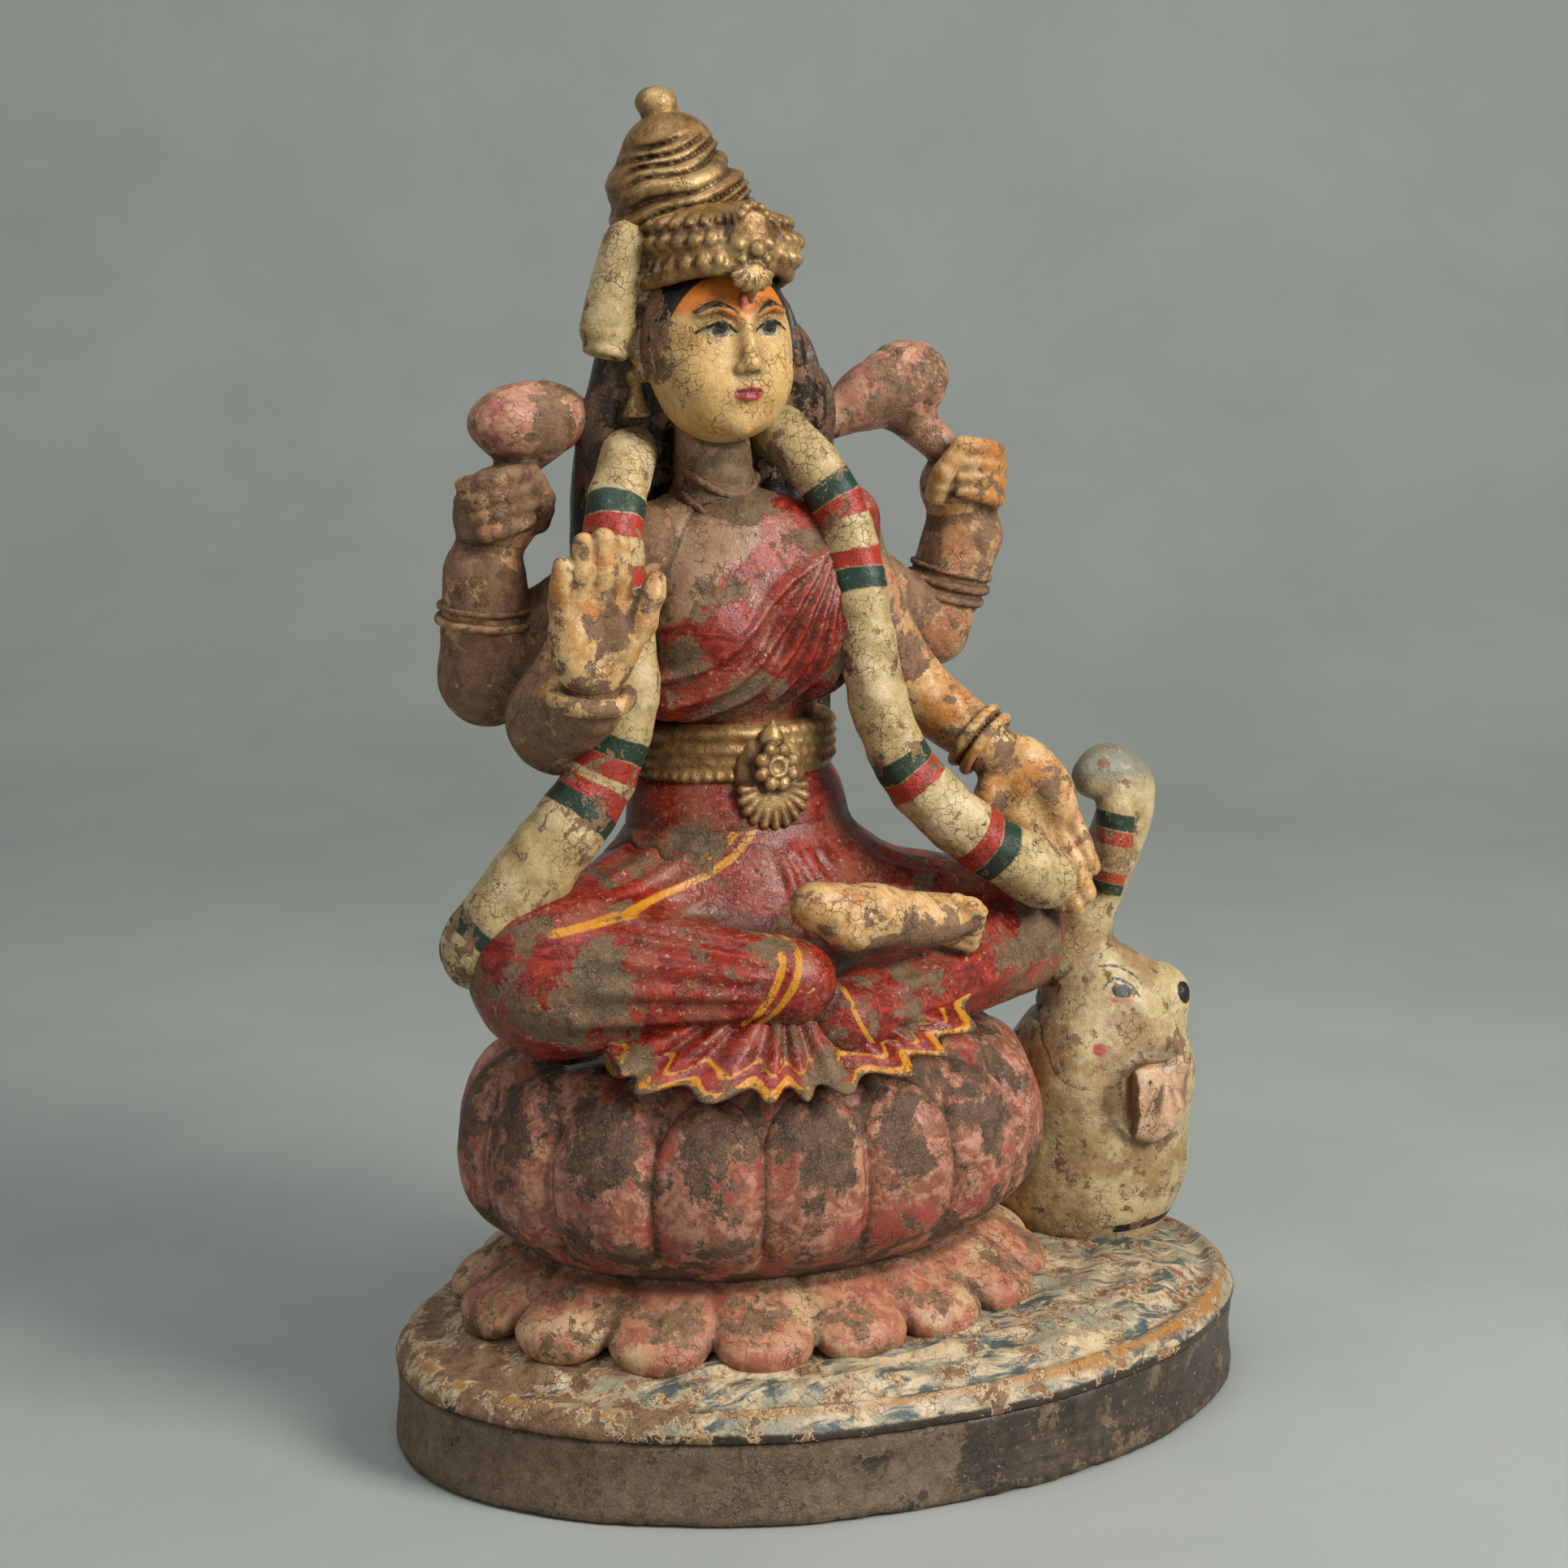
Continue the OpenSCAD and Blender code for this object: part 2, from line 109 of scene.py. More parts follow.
def unit(v):
    v = np.asarray(v, dtype=float)
    return v / np.linalg.norm(v)


def mix(a, b, t):
    return a + (b - a) * t


def turned(rx=0, ry=0, rz=0):
    """A rotation matrix for turns about X, then Y, then Z, in degrees."""
    return np.array(Euler([math.radians(a) for a in (rx, ry, rz)]).to_matrix())


def local(p, centre, turn=None):
    """The cloud's coordinates about a centre, in axes turned by a rotation matrix."""
    x = p.x - F(centre[0])
    y = p.y - F(centre[1])
    z = p.z - F(centre[2])
    if turn is None:
        return x, y, z
    t = turn.astype(np.float32)
    return (x * t[0, 0] + y * t[1, 0] + z * t[2, 0],
            x * t[0, 1] + y * t[1, 1] + z * t[2, 1],
            x * t[0, 2] + y * t[1, 2] + z * t[2, 2])


def egg(p, centre, size, turn=None):
    """An ellipsoid with the given half sizes."""
    if p.misses(centre, max(size)):
        return FAR
    x, y, z = local(p, centre, turn)
    a, b, c = (F(1 / s) for s in size)
    x, y, z = x * a, y * b, z * c
    k0 = np.sqrt(x * x + y * y + z * z)
    x, y, z = x * a, y * b, z * c
    k1 = np.sqrt(x * x + y * y + z * z) + F(1e-6)
    return k0 * (k0 - 1) / k1


def ball(p, centre, radius):
    if p.misses(centre, radius):
        return FAR
    x, y, z = local(p, centre)
    return np.sqrt(x * x + y * y + z * z) - F(radius)


def along(p, a, b):
    """For a segment from a to b: how far along it (0 to 1) each point's foot is, and its distance."""
    d = b - a
    x, y, z = local(p, a)
    t = np.clip((x * F(d[0]) + y * F(d[1]) + z * F(d[2])) / F(d @ d), 0, 1)
    x, y, z = x - t * F(d[0]), y - t * F(d[1]), z - t * F(d[2])
    return t, np.sqrt(x * x + y * y + z * z)


def limb(p, a, b, ra, rb):
    """A round-ended limb that tapers from radius ra at a to rb at b."""
    a, b = np.asarray(a, float), np.asarray(b, float)
    if p.misses((a + b) / 2, np.linalg.norm(b - a) / 2 + max(ra, rb)):
        return FAR
    t, d = along(p, a, b)
    return d - (F(ra) + t * F(rb - ra))


def tube(p, path, radii, k=2.0):
    """Limbs joined end to end along a path."""
    d = FAR
    for a, b, ra, rb in zip(path, path[1:], radii, radii[1:]):
        d = blend(d, limb(p, a, b, ra, rb), k)
    return d


def hoop(p, centre, axis, radius, rod, squash=1.0):
    """A ring round an axis; squash below 1 flattens its rod along the axis."""
    if p.misses(centre, radius + rod):
        return FAR
    x, y, z = local(p, centre)
    n = unit(axis).astype(np.float32)
    h = x * n[0] + y * n[1] + z * n[2]
    r2 = x * x + y * y + z * z - h * h
    q = np.sqrt(np.maximum(r2, 0)) - F(radius)
    return np.sqrt(q * q + (h * F(squash)) ** 2) - F(rod)


def blend(a, b, k=0.0):
    """The union of two shapes, with a fillet of width k."""
    if a is FAR:
        return b
    if b is FAR:
        return a
    if k <= 0:
        return np.minimum(a, b)
    h = np.maximum(F(k) - np.abs(a - b), 0)
    return np.minimum(a, b) - h * h * F(0.25 / k)


def join(*shapes, k=0.0):
    d = FAR
    for s in shapes:
        d = blend(d, s, k)
    return d


def carve(a, b, k=0.0):
    """Shape a less shape b, with a soft edge of width k."""
    if a is FAR or b is FAR:
        return a
    return clip(a, -b, k)


def clip(a, b, k=0.0):
    """The part of a inside b."""
    if a is FAR or b is FAR:
        return FAR
    if k <= 0:
        return np.maximum(a, b)
    h = np.maximum(F(k) - np.abs(a - b), 0)
    return np.maximum(a, b) + h * h * F(0.25 / k)


def crease(d, s, width, depth):
    """Press a groove (or raise a ridge, depth < 0) where the distance s is small."""
    if d is FAR or s is FAR:
        return d
    return d + F(depth) * np.exp(-(s / F(width)) ** 2)


# ---- turning a shape into a mesh ----
def sampled(field, x, y, z):
    d = field(Cloud(x, y, z))
    if d is FAR:
        return np.full(x.shape, F(REACH))
    return d


def in_batches(jobs, work):
    with ThreadPoolExecutor(WORKERS) as pool:
        return list(pool.map(work, jobs))


def grid_values(field, low, high, step):
    """The field on a grid of points, worked out only near the surface."""
    span = step * BLOCK
    blocks = [int(math.ceil((h - l) / span)) for l, h in zip(low, high)]
    size = [b * BLOCK for b in blocks]
    values = np.full(size, F(REACH), dtype=np.float32)
    half = span * 0.5
    limit = half * math.sqrt(3) * 1.25 + 0.5
    offset = (np.arange(BLOCK) * step).astype(np.float32)

    def work(job):
        i, j, k = (np.arange(c, min(c + CHUNK, b)) for c, b in zip(job, blocks))
        i, j, k = (a.ravel() for a in np.meshgrid(i, j, k, indexing="ij"))
        corner = [(low[n] + a * span).astype(np.float32) for n, a in enumerate((i, j, k))]
        centre = [c + F(half) for c in corner]
        rough = sampled(field, *centre)
        near = np.abs(rough) < limit
        out = [(i[~near], j[~near], k[~near], rough[~near])]
        if near.any():
            corner = [c[near] for c in corner]
            x = corner[0][:, None, None, None] + offset[None, :, None, None]
            y = corner[1][:, None, None, None] + offset[None, None, :, None]
            z = corner[2][:, None, None, None] + offset[None, None, None, :]
            x, y, z = np.broadcast_arrays(x, y, z)
            d = sampled(field, x.ravel(), y.ravel(), z.ravel()).reshape(x.shape)
            out.append((i[near], j[near], k[near], d))
        return out

    jobs = [(i, j, k) for i in range(0, blocks[0], CHUNK) for j in range(0, blocks[1], CHUNK)
            for k in range(0, blocks[2], CHUNK)]
    view = values.reshape(blocks[0], BLOCK, blocks[1], BLOCK, blocks[2], BLOCK).transpose(0, 2, 4, 1, 3, 5)
    for parts in in_batches(jobs, work):
        for n, (i, j, k, d) in enumerate(parts):
            view[i, j, k] = d[:, None, None, None] if n == 0 else d
    return values


def surface_net(values, low, step):
    """Vertices on the zero surface, one per crossed cell, and the quads that join them."""
    inside = values < 0
    count = np.zeros([n - 1 for n in inside.shape], dtype=np.uint8)
    corners = [(a, b, c) for a in (0, 1) for b in (0, 1) for c in (0, 1)]
    for a, b, c in corners:
        count += inside[a:a + count.shape[0], b:b + count.shape[1], c:c + count.shape[2]]
    cell = np.argwhere((count > 0) & (count < 8))
    at = {c: values[cell[:, 0] + c[0], cell[:, 1] + c[1], cell[:, 2] + c[2]] for c in corners}
    total = np.zeros(cell.shape, dtype=np.float32)
    hits = np.zeros(len(cell), dtype=np.float32)
    for axis in range(3):
        for c in corners:
            if c[axis]:
                continue
            d = tuple(1 if n == axis else v for n, v in enumerate(c))
            va, vb = at[c], at[d]
            cross = (va < 0) != (vb < 0)
            t = np.where(cross, va / np.where(cross, va - vb, 1), 0)
            for n in range(3):
                total[:, n] += np.where(cross, (t if n == axis else c[n]), 0)
            hits += cross
    points = (cell + total / hits[:, None]) * step + np.asarray(low)
    number = np.full(count.shape, -1, dtype=np.int32)
    number[cell[:, 0], cell[:, 1], cell[:, 2]] = np.arange(len(cell))
    quads = []
    for axis in range(3):
        u, v = [(1, 2), (2, 0), (0, 1)][axis]
        lead = [slice(None)] * 3
        tail = [slice(None)] * 3
        lead[axis], tail[axis] = slice(0, -1), slice(1, None)
        a, b = inside[tuple(lead)], inside[tuple(tail)]
        edge = np.argwhere(a != b)
        edge = edge[(edge[:, u] > 0) & (edge[:, v] > 0)
                    & (edge[:, u] < inside.shape[u] - 1) & (edge[:, v] < inside.shape[v] - 1)]
        flip = b[edge[:, 0], edge[:, 1], edge[:, 2]]
        ring = []
        for du, dv in ((1, 1), (0, 1), (0, 0), (1, 0)):
            q = edge.copy()
            q[:, u] -= du
            q[:, v] -= dv
            ring.append(number[q[:, 0], q[:, 1], q[:, 2]])
        ring = np.stack(ring, axis=1)
        ring[flip] = ring[flip][:, ::-1]
        quads.append(ring)
    return points, np.concatenate(quads)


def in_clusters(points, work, span):
    """Call work on clouds of nearby points and gather what it gives for each point."""
    key = np.floor(points / span).astype(np.int64)
    key = (key[:, 0] * 4099 + key[:, 1]) * 4099 + key[:, 2]
    order = np.argsort(key, kind="stable")
    cuts = np.flatnonzero(np.diff(key[order])) + 1
    groups = np.split(order, cuts)
    result = in_batches(groups, lambda g: work(points[g].astype(np.float32)))
    out = np.empty((len(points),) + result[0].shape[1:], dtype=np.float32)
    for g, r in zip(groups, result):
        out[g] = r
    return out


TETRA = np.array([(1, 1, 1), (1, -1, -1), (-1, 1, -1), (-1, -1, 1)], dtype=np.float32)


def settled(field, points, step):
    """Move points onto the zero surface along the field's slope, and give the slope there."""
    e = F(step * 0.5)

    def work(q):
        corners = (q[None] + TETRA[:, None] * e).reshape(-1, 3)
        d = sampled(field, corners[:, 0], corners[:, 1], corners[:, 2]).reshape(4, -1)
        slope = (d[:, :, None] * TETRA[:, None]).sum(axis=0) / (4 * e)
        steep = np.maximum((slope ** 2).sum(axis=1), 0.25)
        shift = -slope * (d.mean(axis=0) / steep)[:, None]
        length = np.linalg.norm(shift, axis=1, keepdims=True) + 1e-9
        shift *= np.minimum(length, step * 0.45) / length
        return np.concatenate([q + shift, slope / np.sqrt(steep)[:, None]], axis=1)

    both = in_clusters(points, work, step * BLOCK * CHUNK)
    return both[:, :3], both[:, 3:]


# ---------------------------------------------------------------------------
# Places, each from the middle of a CAD node's box, in millimetres
# ---------------------------------------------------------------------------
def box_mm(node):
    low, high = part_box(node)
    return np.array(low) / MM, np.array(high) / MM


def at(node, x=0.0, y=0.0, z=0.0):
    low, high = box_mm(node)
    return (low + high) / 2 + vec(x, y, z)


def path_at(node, *offsets):
    return [at(node, *o) for o in offsets]


PLINTH = at("plinth_band", 0, 0, -14)
PLINTH_HALF = (box_mm("plinth_band")[1] - box_mm("plinth_band")[0]) / 2
SEAT = at("lotus_seat")
HIP = at("lap", 0, 12, 4.7)
WAIST = at("waist_belt", 0, 0, 2)
CHEST = at("torso", 0, -1.5, 24.3)
NECK = at("neck", -3, -2, -2.4)
HEAD = at("head", 0, -2, -3.4)
BUCKLE = at("belt_buckle")
CROWN = at("crown", -1, -1.4, -8.4)
FINIAL = at("crown_finial", 0, 0, -1)
TIARA = at("tiara")

KNEE_R = at("right_leg", -24.8, 7.8, -2.5)
KNEE_L = at("left_leg", 40.9, 10.3, -4.9)
ANKLE_R = at("right_leg", 37.2, -40.2, -4.5)
SHIN_END_L = at("left_leg", -49.1, -41.7, -15.9)
HEEL = at("right_foot", -25.5, -2.5, 6.0)
TOES = at("right_foot", 28.5, 3.0, -0.5)

SHOULDER_RF = at("right_front_upper_arm", 17.2, 3, 24)
ELBOW_RF = at("right_front_upper_arm", -13.8, -3, -24)
WRIST_RF = at("right_front_forearm", -2, -16, 7.8)
PALM_RF = at("blessing_hand", -3.9, 0.3, -6)
SHOULDER_LF = at("left_front_upper_arm", -11.7, 0, 22.1)
ELBOW_LF = at("left_front_upper_arm", 11.3, -2, -23.9)
WRIST_LF = at("left_front_forearm", 11.3, -13.7, -10.2)
PALM_LF = at("giving_hand", -3.8, 1.3, 5.3)
SHOULDER_RB = at("right_back_upper_arm", 22.1, -5.6, 13.5)
ELBOW_RB = at("right_back_upper_arm", -16.9, 1.4, -13.5)
WRIST_RB = at("right_back_forearm", -0.6, -2.5, 18.5)
FIST_RB = at("right_fist", 0, 1.1, -0.7)
BUD_R = at("right_lotus_bud", 0, 0, 1.4)
SHOULDER_LB = at("left_back_upper_arm", -21.5, -3.6, 13.5)
ELBOW_LB = at("left_back_upper_arm", 22.5, 2.4, -14.5)
WRIST_LB = at("left_back_forearm", 3.7, -0.8, 15.3)
FIST_LB = at("left_fist", 0, 1.1, -1.1)
BUD_L = at("left_lotus_bud", -1, 0, 4.4)

ELEPHANT = at("elephant_body", 0, -10.1, -3.2)
ELEPHANT_HEAD = at("elephant_head", -2, 3, 0)
EAR_NEAR = ELEPHANT_HEAD + vec(-1, -27.0, -27)
TRUNK = path_at("elephant_trunk", (-12.5, 8.5, -32), (-5.5, 5.8, -9.0), (0.6, 1.8, 9), (4.2, -1.2, 23),
                (3.8, -2.1, 34), (-3.6, -1.6, 39.4), (-10.8, -2.3, 37))
TRUNK_CURL = path_at("elephant_trunk", (-2.1, -4.8, 37), (-4.4, -7.9, 27), (-4.8, -7.8, 13), (-5.2, -6.5, 1))
GARLAND_R = path_at("garland_right", (32.0, 22.0, 84.0), (24.1, 10.3, 78.4), (15.5, 0.3, 66.4),
                    (12.5, -4.7, 50.4),
                    (14.1, -8.7, 28.4), (14.1, -9.7, 6.4), (6.1, -7.7, -17.6), (-7.9, -7.7, -35.6),
                    (-20.9, -1.7, -55.6), (-30.9, 6.3, -73.6))
GARLAND_L = path_at("garland_left", (-47.0, 33.0, 84.0), (-48.2, 21.4, 81.2), (-42.2, 11.4, 71.2),
                    (-35.2, 3.4, 53.2),
                    (-33.2, -3.6, 27.2), (-29.2, -7.6, -2.8), (-20.2, -10.6, -26.8), (-2.2, -15.6, -46.8),
                    (21.8, -19.6, -62.8), (45.8, -17.6, -78.8))


# ---------------------------------------------------------------------------
# Small sculpting helpers
# ---------------------------------------------------------------------------
def hashed(i, j, k, seed):
    n = (i * 374761393 + j * 668265263 + k * 2147483647 + seed * 144665) & 0xFFFFFFFF
    n = ((n ^ (n >> 13)) * 1274126177) & 0xFFFFFFFF
    return ((n ^ (n >> 16)) & 0xFFFF).astype(np.float32) / 32768 - 1


def noise(x, y, z, size, seed=0):
    """Smooth random values from -1 to 1 that change over about the given size."""
    x, y, z = x / F(size), y / F(size), z / F(size)
    i, j, k = (np.floor(v).astype(np.int64) for v in (x, y, z))
    u, v, w = (a - b.astype(np.float32) for a, b in ((x, i), (y, j), (z, k)))
    u, v, w = (t * t * (3 - 2 * t) for t in (u, v, w))
    out = 0
    for a in (0, 1):
        for b in (0, 1):
            for c in (0, 1):
                weight = (u if a else 1 - u) * (v if b else 1 - v) * (w if c else 1 - w)
                out = out + weight * hashed(i + a, j + b, k + c, seed)
    return out


def wander(x, y, z, size, seed=0):
    """A cheap smooth wander between about -1 and 1, for use inside a shape."""
    k = F(2.4 / size)
    a = np.sin(x * k + y * (k * 0.6) + F(seed * 1.3))
    a = a * np.sin(y * (k * 1.1) - z * (k * 0.5) + F(seed * 2.1))
    b = np.sin(z * (k * 1.2) + x * (k * 0.4) + F(seed * 0.7))
    b = b * np.sin(x * (k * 0.9) - y * (k * 0.8) + F(seed * 3.3))
    return (a + b) * 0.7


def smooth_step(t):
    t = np.clip(t, 0, 1)
    return t * t * (3 - 2 * t)


def bump(s, width):
    """1 where s is nought, falling away over the width."""
    return np.exp(-(s / F(width)) ** 2)


def smoothed(path, steps=4):
    """A path with rounded corners: points along a Catmull-Rom curve through the given ones."""
    pts = [2 * path[0] - path[1]] + list(path) + [2 * path[-1] - path[-2]]
    out = []
    for a, b, c, d in zip(pts, pts[1:], pts[2:], pts[3:]):
        for n in range(steps):
            t = n / steps
            out.append(0.5 * (2 * b + (c - a) * t + (2 * a - 5 * b + 4 * c - d) * t ** 2
                              + (3 * b - a - 3 * c + d) * t ** 3))
    return out + [path[-1]]


def spread(values, count):
    """The values, in even steps, as a longer list."""
    return list(np.interp(np.linspace(0, 1, count), np.linspace(0, 1, len(values)), values))


def lines(p, paths, flat=None, reach=REACH):
    """Distance to the nearest of some paths; flat names an axis (0, 1, 2) that is ignored."""
    keep = [n for n in range(3) if n != flat]
    low, high = p.low[keep] - reach, p.high[keep] + reach
    spots = [(p.x, p.y, p.z)[n] for n in keep]
    best = None
    for path in paths:
        for a, b in zip(path, path[1:]):
            a, b = np.asarray(a, float)[keep], np.asarray(b, float)[keep]
            if (np.minimum(a, b) > high).any() or (np.maximum(a, b) < low).any():
                continue
            d = b - a
            away = [v - F(c) for v, c in zip(spots, a)]
            t = np.clip(sum(v * F(c) for v, c in zip(away, d)) / F(d @ d + 1e-9), 0, 1)
            s = sum((v - t * F(c)) ** 2 for v, c in zip(away, d))
            best = s if best is None else np.minimum(best, s)
    return FAR if best is None else np.sqrt(best)


def pleated(d, p, paths, width, height, flat=None):
    """Raise soft ridges along paths on a surface."""
    if d is FAR:
        return d
    s = lines(p, paths, flat, width * 2.5)
    return d if s is FAR else d - F(height) * bump(s, width)


def oval_wall(p, centre, rx, ry):
    """Distance to an upright oval wall, and how far out each point is as a share of the oval."""
    x, y, _ = local(p, centre)
    x, y = x / F(rx), y / F(ry)
    share = np.sqrt(x * x + y * y)
    slope = np.sqrt((x / F(rx)) ** 2 + (y / F(ry)) ** 2) + F(1e-6)
    return share * (share - 1) / slope, share


def round_angle(p, centre, axis, up=(0, 0, 1)):
    """Angle about an axis through a centre, in radians from the up direction, and distance out."""
    axis = unit(axis)
    up = unit(np.asarray(up, float) - axis * (np.asarray(up, float) @ axis))
    side = np.cross(axis, up)
    x, y, z = local(p, centre)
    a = x * F(up[0]) + y * F(up[1]) + z * F(up[2])
    b = x * F(side[0]) + y * F(side[1]) + z * F(side[2])
    return np.arctan2(b, a), np.sqrt(a * a + b * b)


def axes(along_z, face):
    """A rotation matrix whose z is along_z and whose -y looks towards face."""
    z = unit(along_z)
    y = -unit(np.asarray(face, float) - z * (np.asarray(face, float) @ z))
    return np.stack([np.cross(y, z), y, z], axis=1)


def put(centre, turn, *v):
    """A point given in a part's own turned axes."""
    return centre + turn @ np.array(v, float)


# ---------------------------------------------------------------------------
# The pieces' shapes
# ---------------------------------------------------------------------------
SHAPES = {}


def shape(make):
    SHAPES[make.__name__] = make
    return make


# ---- plinth ----
BAND_H = 28.0           # the heights of the black band, the deck's rim and the bed under the lotus
RIM_TOP = 32.6
BED_Z = 46.0


def plinth_wall(p):
    d, share = oval_wall(p, PLINTH, PLINTH_HALF[0] - 1.6, PLINTH_HALF[1] - 1.4)
    return d + 0.9 * wander(p.x, p.y, p.z * 0.3, 45, 3), share


@shape
def plinth_band(p):
    d, _ = plinth_wall(p)
    d = d + 0.9 * bump(p.z - 17, 8) - 0.5 * bump(p.z - 3, 5)
    foot = -p.z + 0.5 * np.abs(wander(p.x, p.y, p.z, 9, 5))
    ring = clip(d, -(d + 12), 2)
    return clip(ring, clip(foot, p.z - F(BAND_H + 0.5), 0), 1.6)


def deck_height(x, y, share):
    """The top of the water: a rim, a shallow trough inside it and a swell up to the lotus."""
    rise = np.sqrt(np.clip(1 - (share / 1.005) ** 2, 0, 1))
    swell = np.minimum(F(RIM_TOP - 1.5) + 20 * rise, F(BED_Z - 0.6))
    back = smooth_step((-(x * 0.95) - 0.2 * y - 84) / 30)
    rim = 2.6 * bump(share - 0.963, 0.016) * (1 - 0.75 * back)
    trough = 2.4 * bump(share - 0.915, 0.03)
    waves = 0.55 * np.sin(share * 60 + 2.2 * wander(x, y, x * 0, 28, 8))
    waves = waves * smooth_step((0.93 - share) / 0.1)
    lumps = 1.0 * wander(x, y, x * 0, 16, 9) + 0.5 * wander(x, y, x * 0, 6, 10)
    return swell + rim - trough + waves + lumps * smooth_step((0.95 - share) / 0.08) - 0.4


@shape
def water_deck(p):
    d, share = plinth_wall(p)
    d = d - 0.7 * bump(p.z - 30.2, 2.4)
    top = (p.z - deck_height(p.x, p.y, share)) * 0.85
    hollow = egg(p, PLINTH + vec(0, 0, 24), (PLINTH_HALF[0] - 26, PLINTH_HALF[1] - 24, 12))
    return carve(clip(clip(d, top, 2.4), F(BAND_H) - p.z, 0), hollow, 1)


# ---- lotus ----
PETALS = 16
SEAT_TOP = 138.5
BOWL_Z = 102            # the height of the bowl's widest part


def seat_wall(p):
    """How far a point lies outside the oval that the upright petals and the hem spread from."""
    return oval_wall(p, SEAT, 70, 52)[0]


def petal_angles(rx, ry, start):
    """Even steps round an oval: where each petal stands and which way it faces, in radians."""
    for i in range(PETALS):
        a = 2 * math.pi * (i + start) / PETALS
        a += 0.25 * (rx * rx - ry * ry) / (rx * rx + ry * ry) * math.sin(2 * a)
        yield i, a, math.atan2(math.sin(a) / ry, math.cos(a) / rx)


def petal(p, rx, ry, z, size, tilt, a, facing, slip=0.0):
    centre = vec(SEAT[0] + rx * math.cos(a), SEAT[1] + ry * math.sin(a), z)
    turn = turned(0, 0, math.degrees(facing)) @ turned(0, tilt, 0)
    return egg(p, centre + turn @ vec(0, 0, slip), size, turn), centre, turn


@shape
def lotus_seat(p):
    bowl = egg(p, vec(SEAT[0], SEAT[1], BOWL_Z), (91, 72, 37))
    stem, _ = oval_wall(p, SEAT, 72, 54)
    stem = clip(stem, clip(p.z - 80, 45.5 - p.z, 0), 3)
    d = blend(bowl, stem, 8)
    return clip(d, p.z - F(SEAT_TOP), 6)


def gap_between(ones):
    """How evenly a point lies between its two nearest petals: nought on the line between them."""
    two = np.partition(np.stack(ones), 1, axis=0)[:2]
    return two[1] - two[0]


def petal_steps(p, start):
    """Which petal of a row each point faces, and how far across it, from -1 to 1."""
    x, y, _ = local(p, SEAT)
    a = np.arctan2(y / 76, x / 95)
    a = a - 0.055 * np.sin(2 * a)
    step = a * F(PETALS / (2 * math.pi)) - F(start)
    index = np.round(step)
    return index, (step - index) * 2


PETAL_CREST = 0.3       # how far to one side of its middle each petal is fullest


def petal_swell(across):
    """How full a petal is at a place across it: 1 at its crest, 0 at its sides."""
    side = across - F(PETAL_CREST)
    side = np.where(side < 0, side / F(1 + PETAL_CREST), side / F(1 - PETAL_CREST))
    return 1 - side * side


@shape
def upper_petals(p):
    """A bowl of broad petals side by side, each with a rounded top, on one smooth belly."""
    wall = seat_wall(p)
    index, across = petal_steps(p, 0.5)
    rise = p.z - 100
    tall = np.where(rise < 0, 36, 35)
    out, up = np.maximum(wall, 0) / 29.5, rise / tall
    k0 = np.sqrt(out * out + up * up)
    k1 = np.sqrt((out / 29.5) ** 2 + (up / tall) ** 2) + F(1e-5)
    bowl = k0 * (k0 - 1) / k1
    square = across * across
    low = smooth_step((p.z - 67) / 17)
    d = bowl - 4.4 * petal_swell(across) * low + 1.5 * bump(1 - np.abs(across), 0.08) * low
    top = 132 + 1.2 * np.sin(index * 2.3) - 10 * square * square - 4 * square
    d = clip(d, (p.z - top) * 0.8, 7)
    return clip(d, -wall - 12, 0)


@shape
def rim_petals(p):
    """A second row close behind, showing only its tops between the outer petals."""
    wall = seat_wall(p)
    index, across = petal_steps(p, 0)
    square = across * across
    d = np.abs(wall - 19.5 + 2.4 * square + 0.010 * (p.z - 104) ** 2 * (p.z > 104)) - 5.5
    top = 135.5 + 0.9 * np.sin(index * 1.9) - 6 * square * square - 2 * square
    d = clip(d, (p.z - top) * 0.8, 5)
    return clip(d, 100 - p.z, 0)


@shape
def lower_petals(p):
    ones = []
    for i, a, facing in petal_angles(96, 76, 0):
        wide = math.pi * (96 + 76) / 2 / PETALS + 0.6
        body, centre, turn = petal(p, 87.0, 67.0, 54.5, (7.6, wide + 1.5, 22), -56, a, facing)
        tip, _, _ = petal(p, 98.0, 78.0, 49.0, (5.6, wide - 2.4, 8.5), -66, a, facing)
        one = blend(body, tip, 5)
        if one is not FAR:
            _, y, z = local(p, centre, turn)
            one = one + F(0.9 if i % 3 == 1 else 0.4) * bump(y + 1.5, 1.5) * bump(z + 6, 12)
            ones.append(one)
    d = join(*ones, k=5.0) if ones else FAR
    if len(ones) > 1:
        d = d + 1.4 * bump(gap_between(ones), 1.8)
    return d


# ---- legs and skirt ----
HIP_R = HIP + vec(-26, -6, -4)
HIP_L = HIP + vec(26, -6, -6)
SHIN_R = KNEE_R + vec(0, -4, -4)
SHIN_L = KNEE_L + vec(0, -8, -6)


def limb_folds(d, p, a, b, radius, folds):
    """Cloth folds lengthwise on a limb; each is (angle, drift, width, height, start, end)."""
    if d is FAR:
        return d
    angle, _ = round_angle(p, a, b - a)
    t, _ = along(p, a, b)
    for place, drift, width, height, start, end in folds:
        arc = (angle - F(math.radians(place)) - F(math.radians(drift)) * (t - 0.5)) * F(radius)
        window = smooth_step((t - F(start)) / 0.16) * smooth_step((F(end) - t) / 0.16)
        d = d - F(height * 1.5) * bump(arc, width * 0.85) * window
    return d


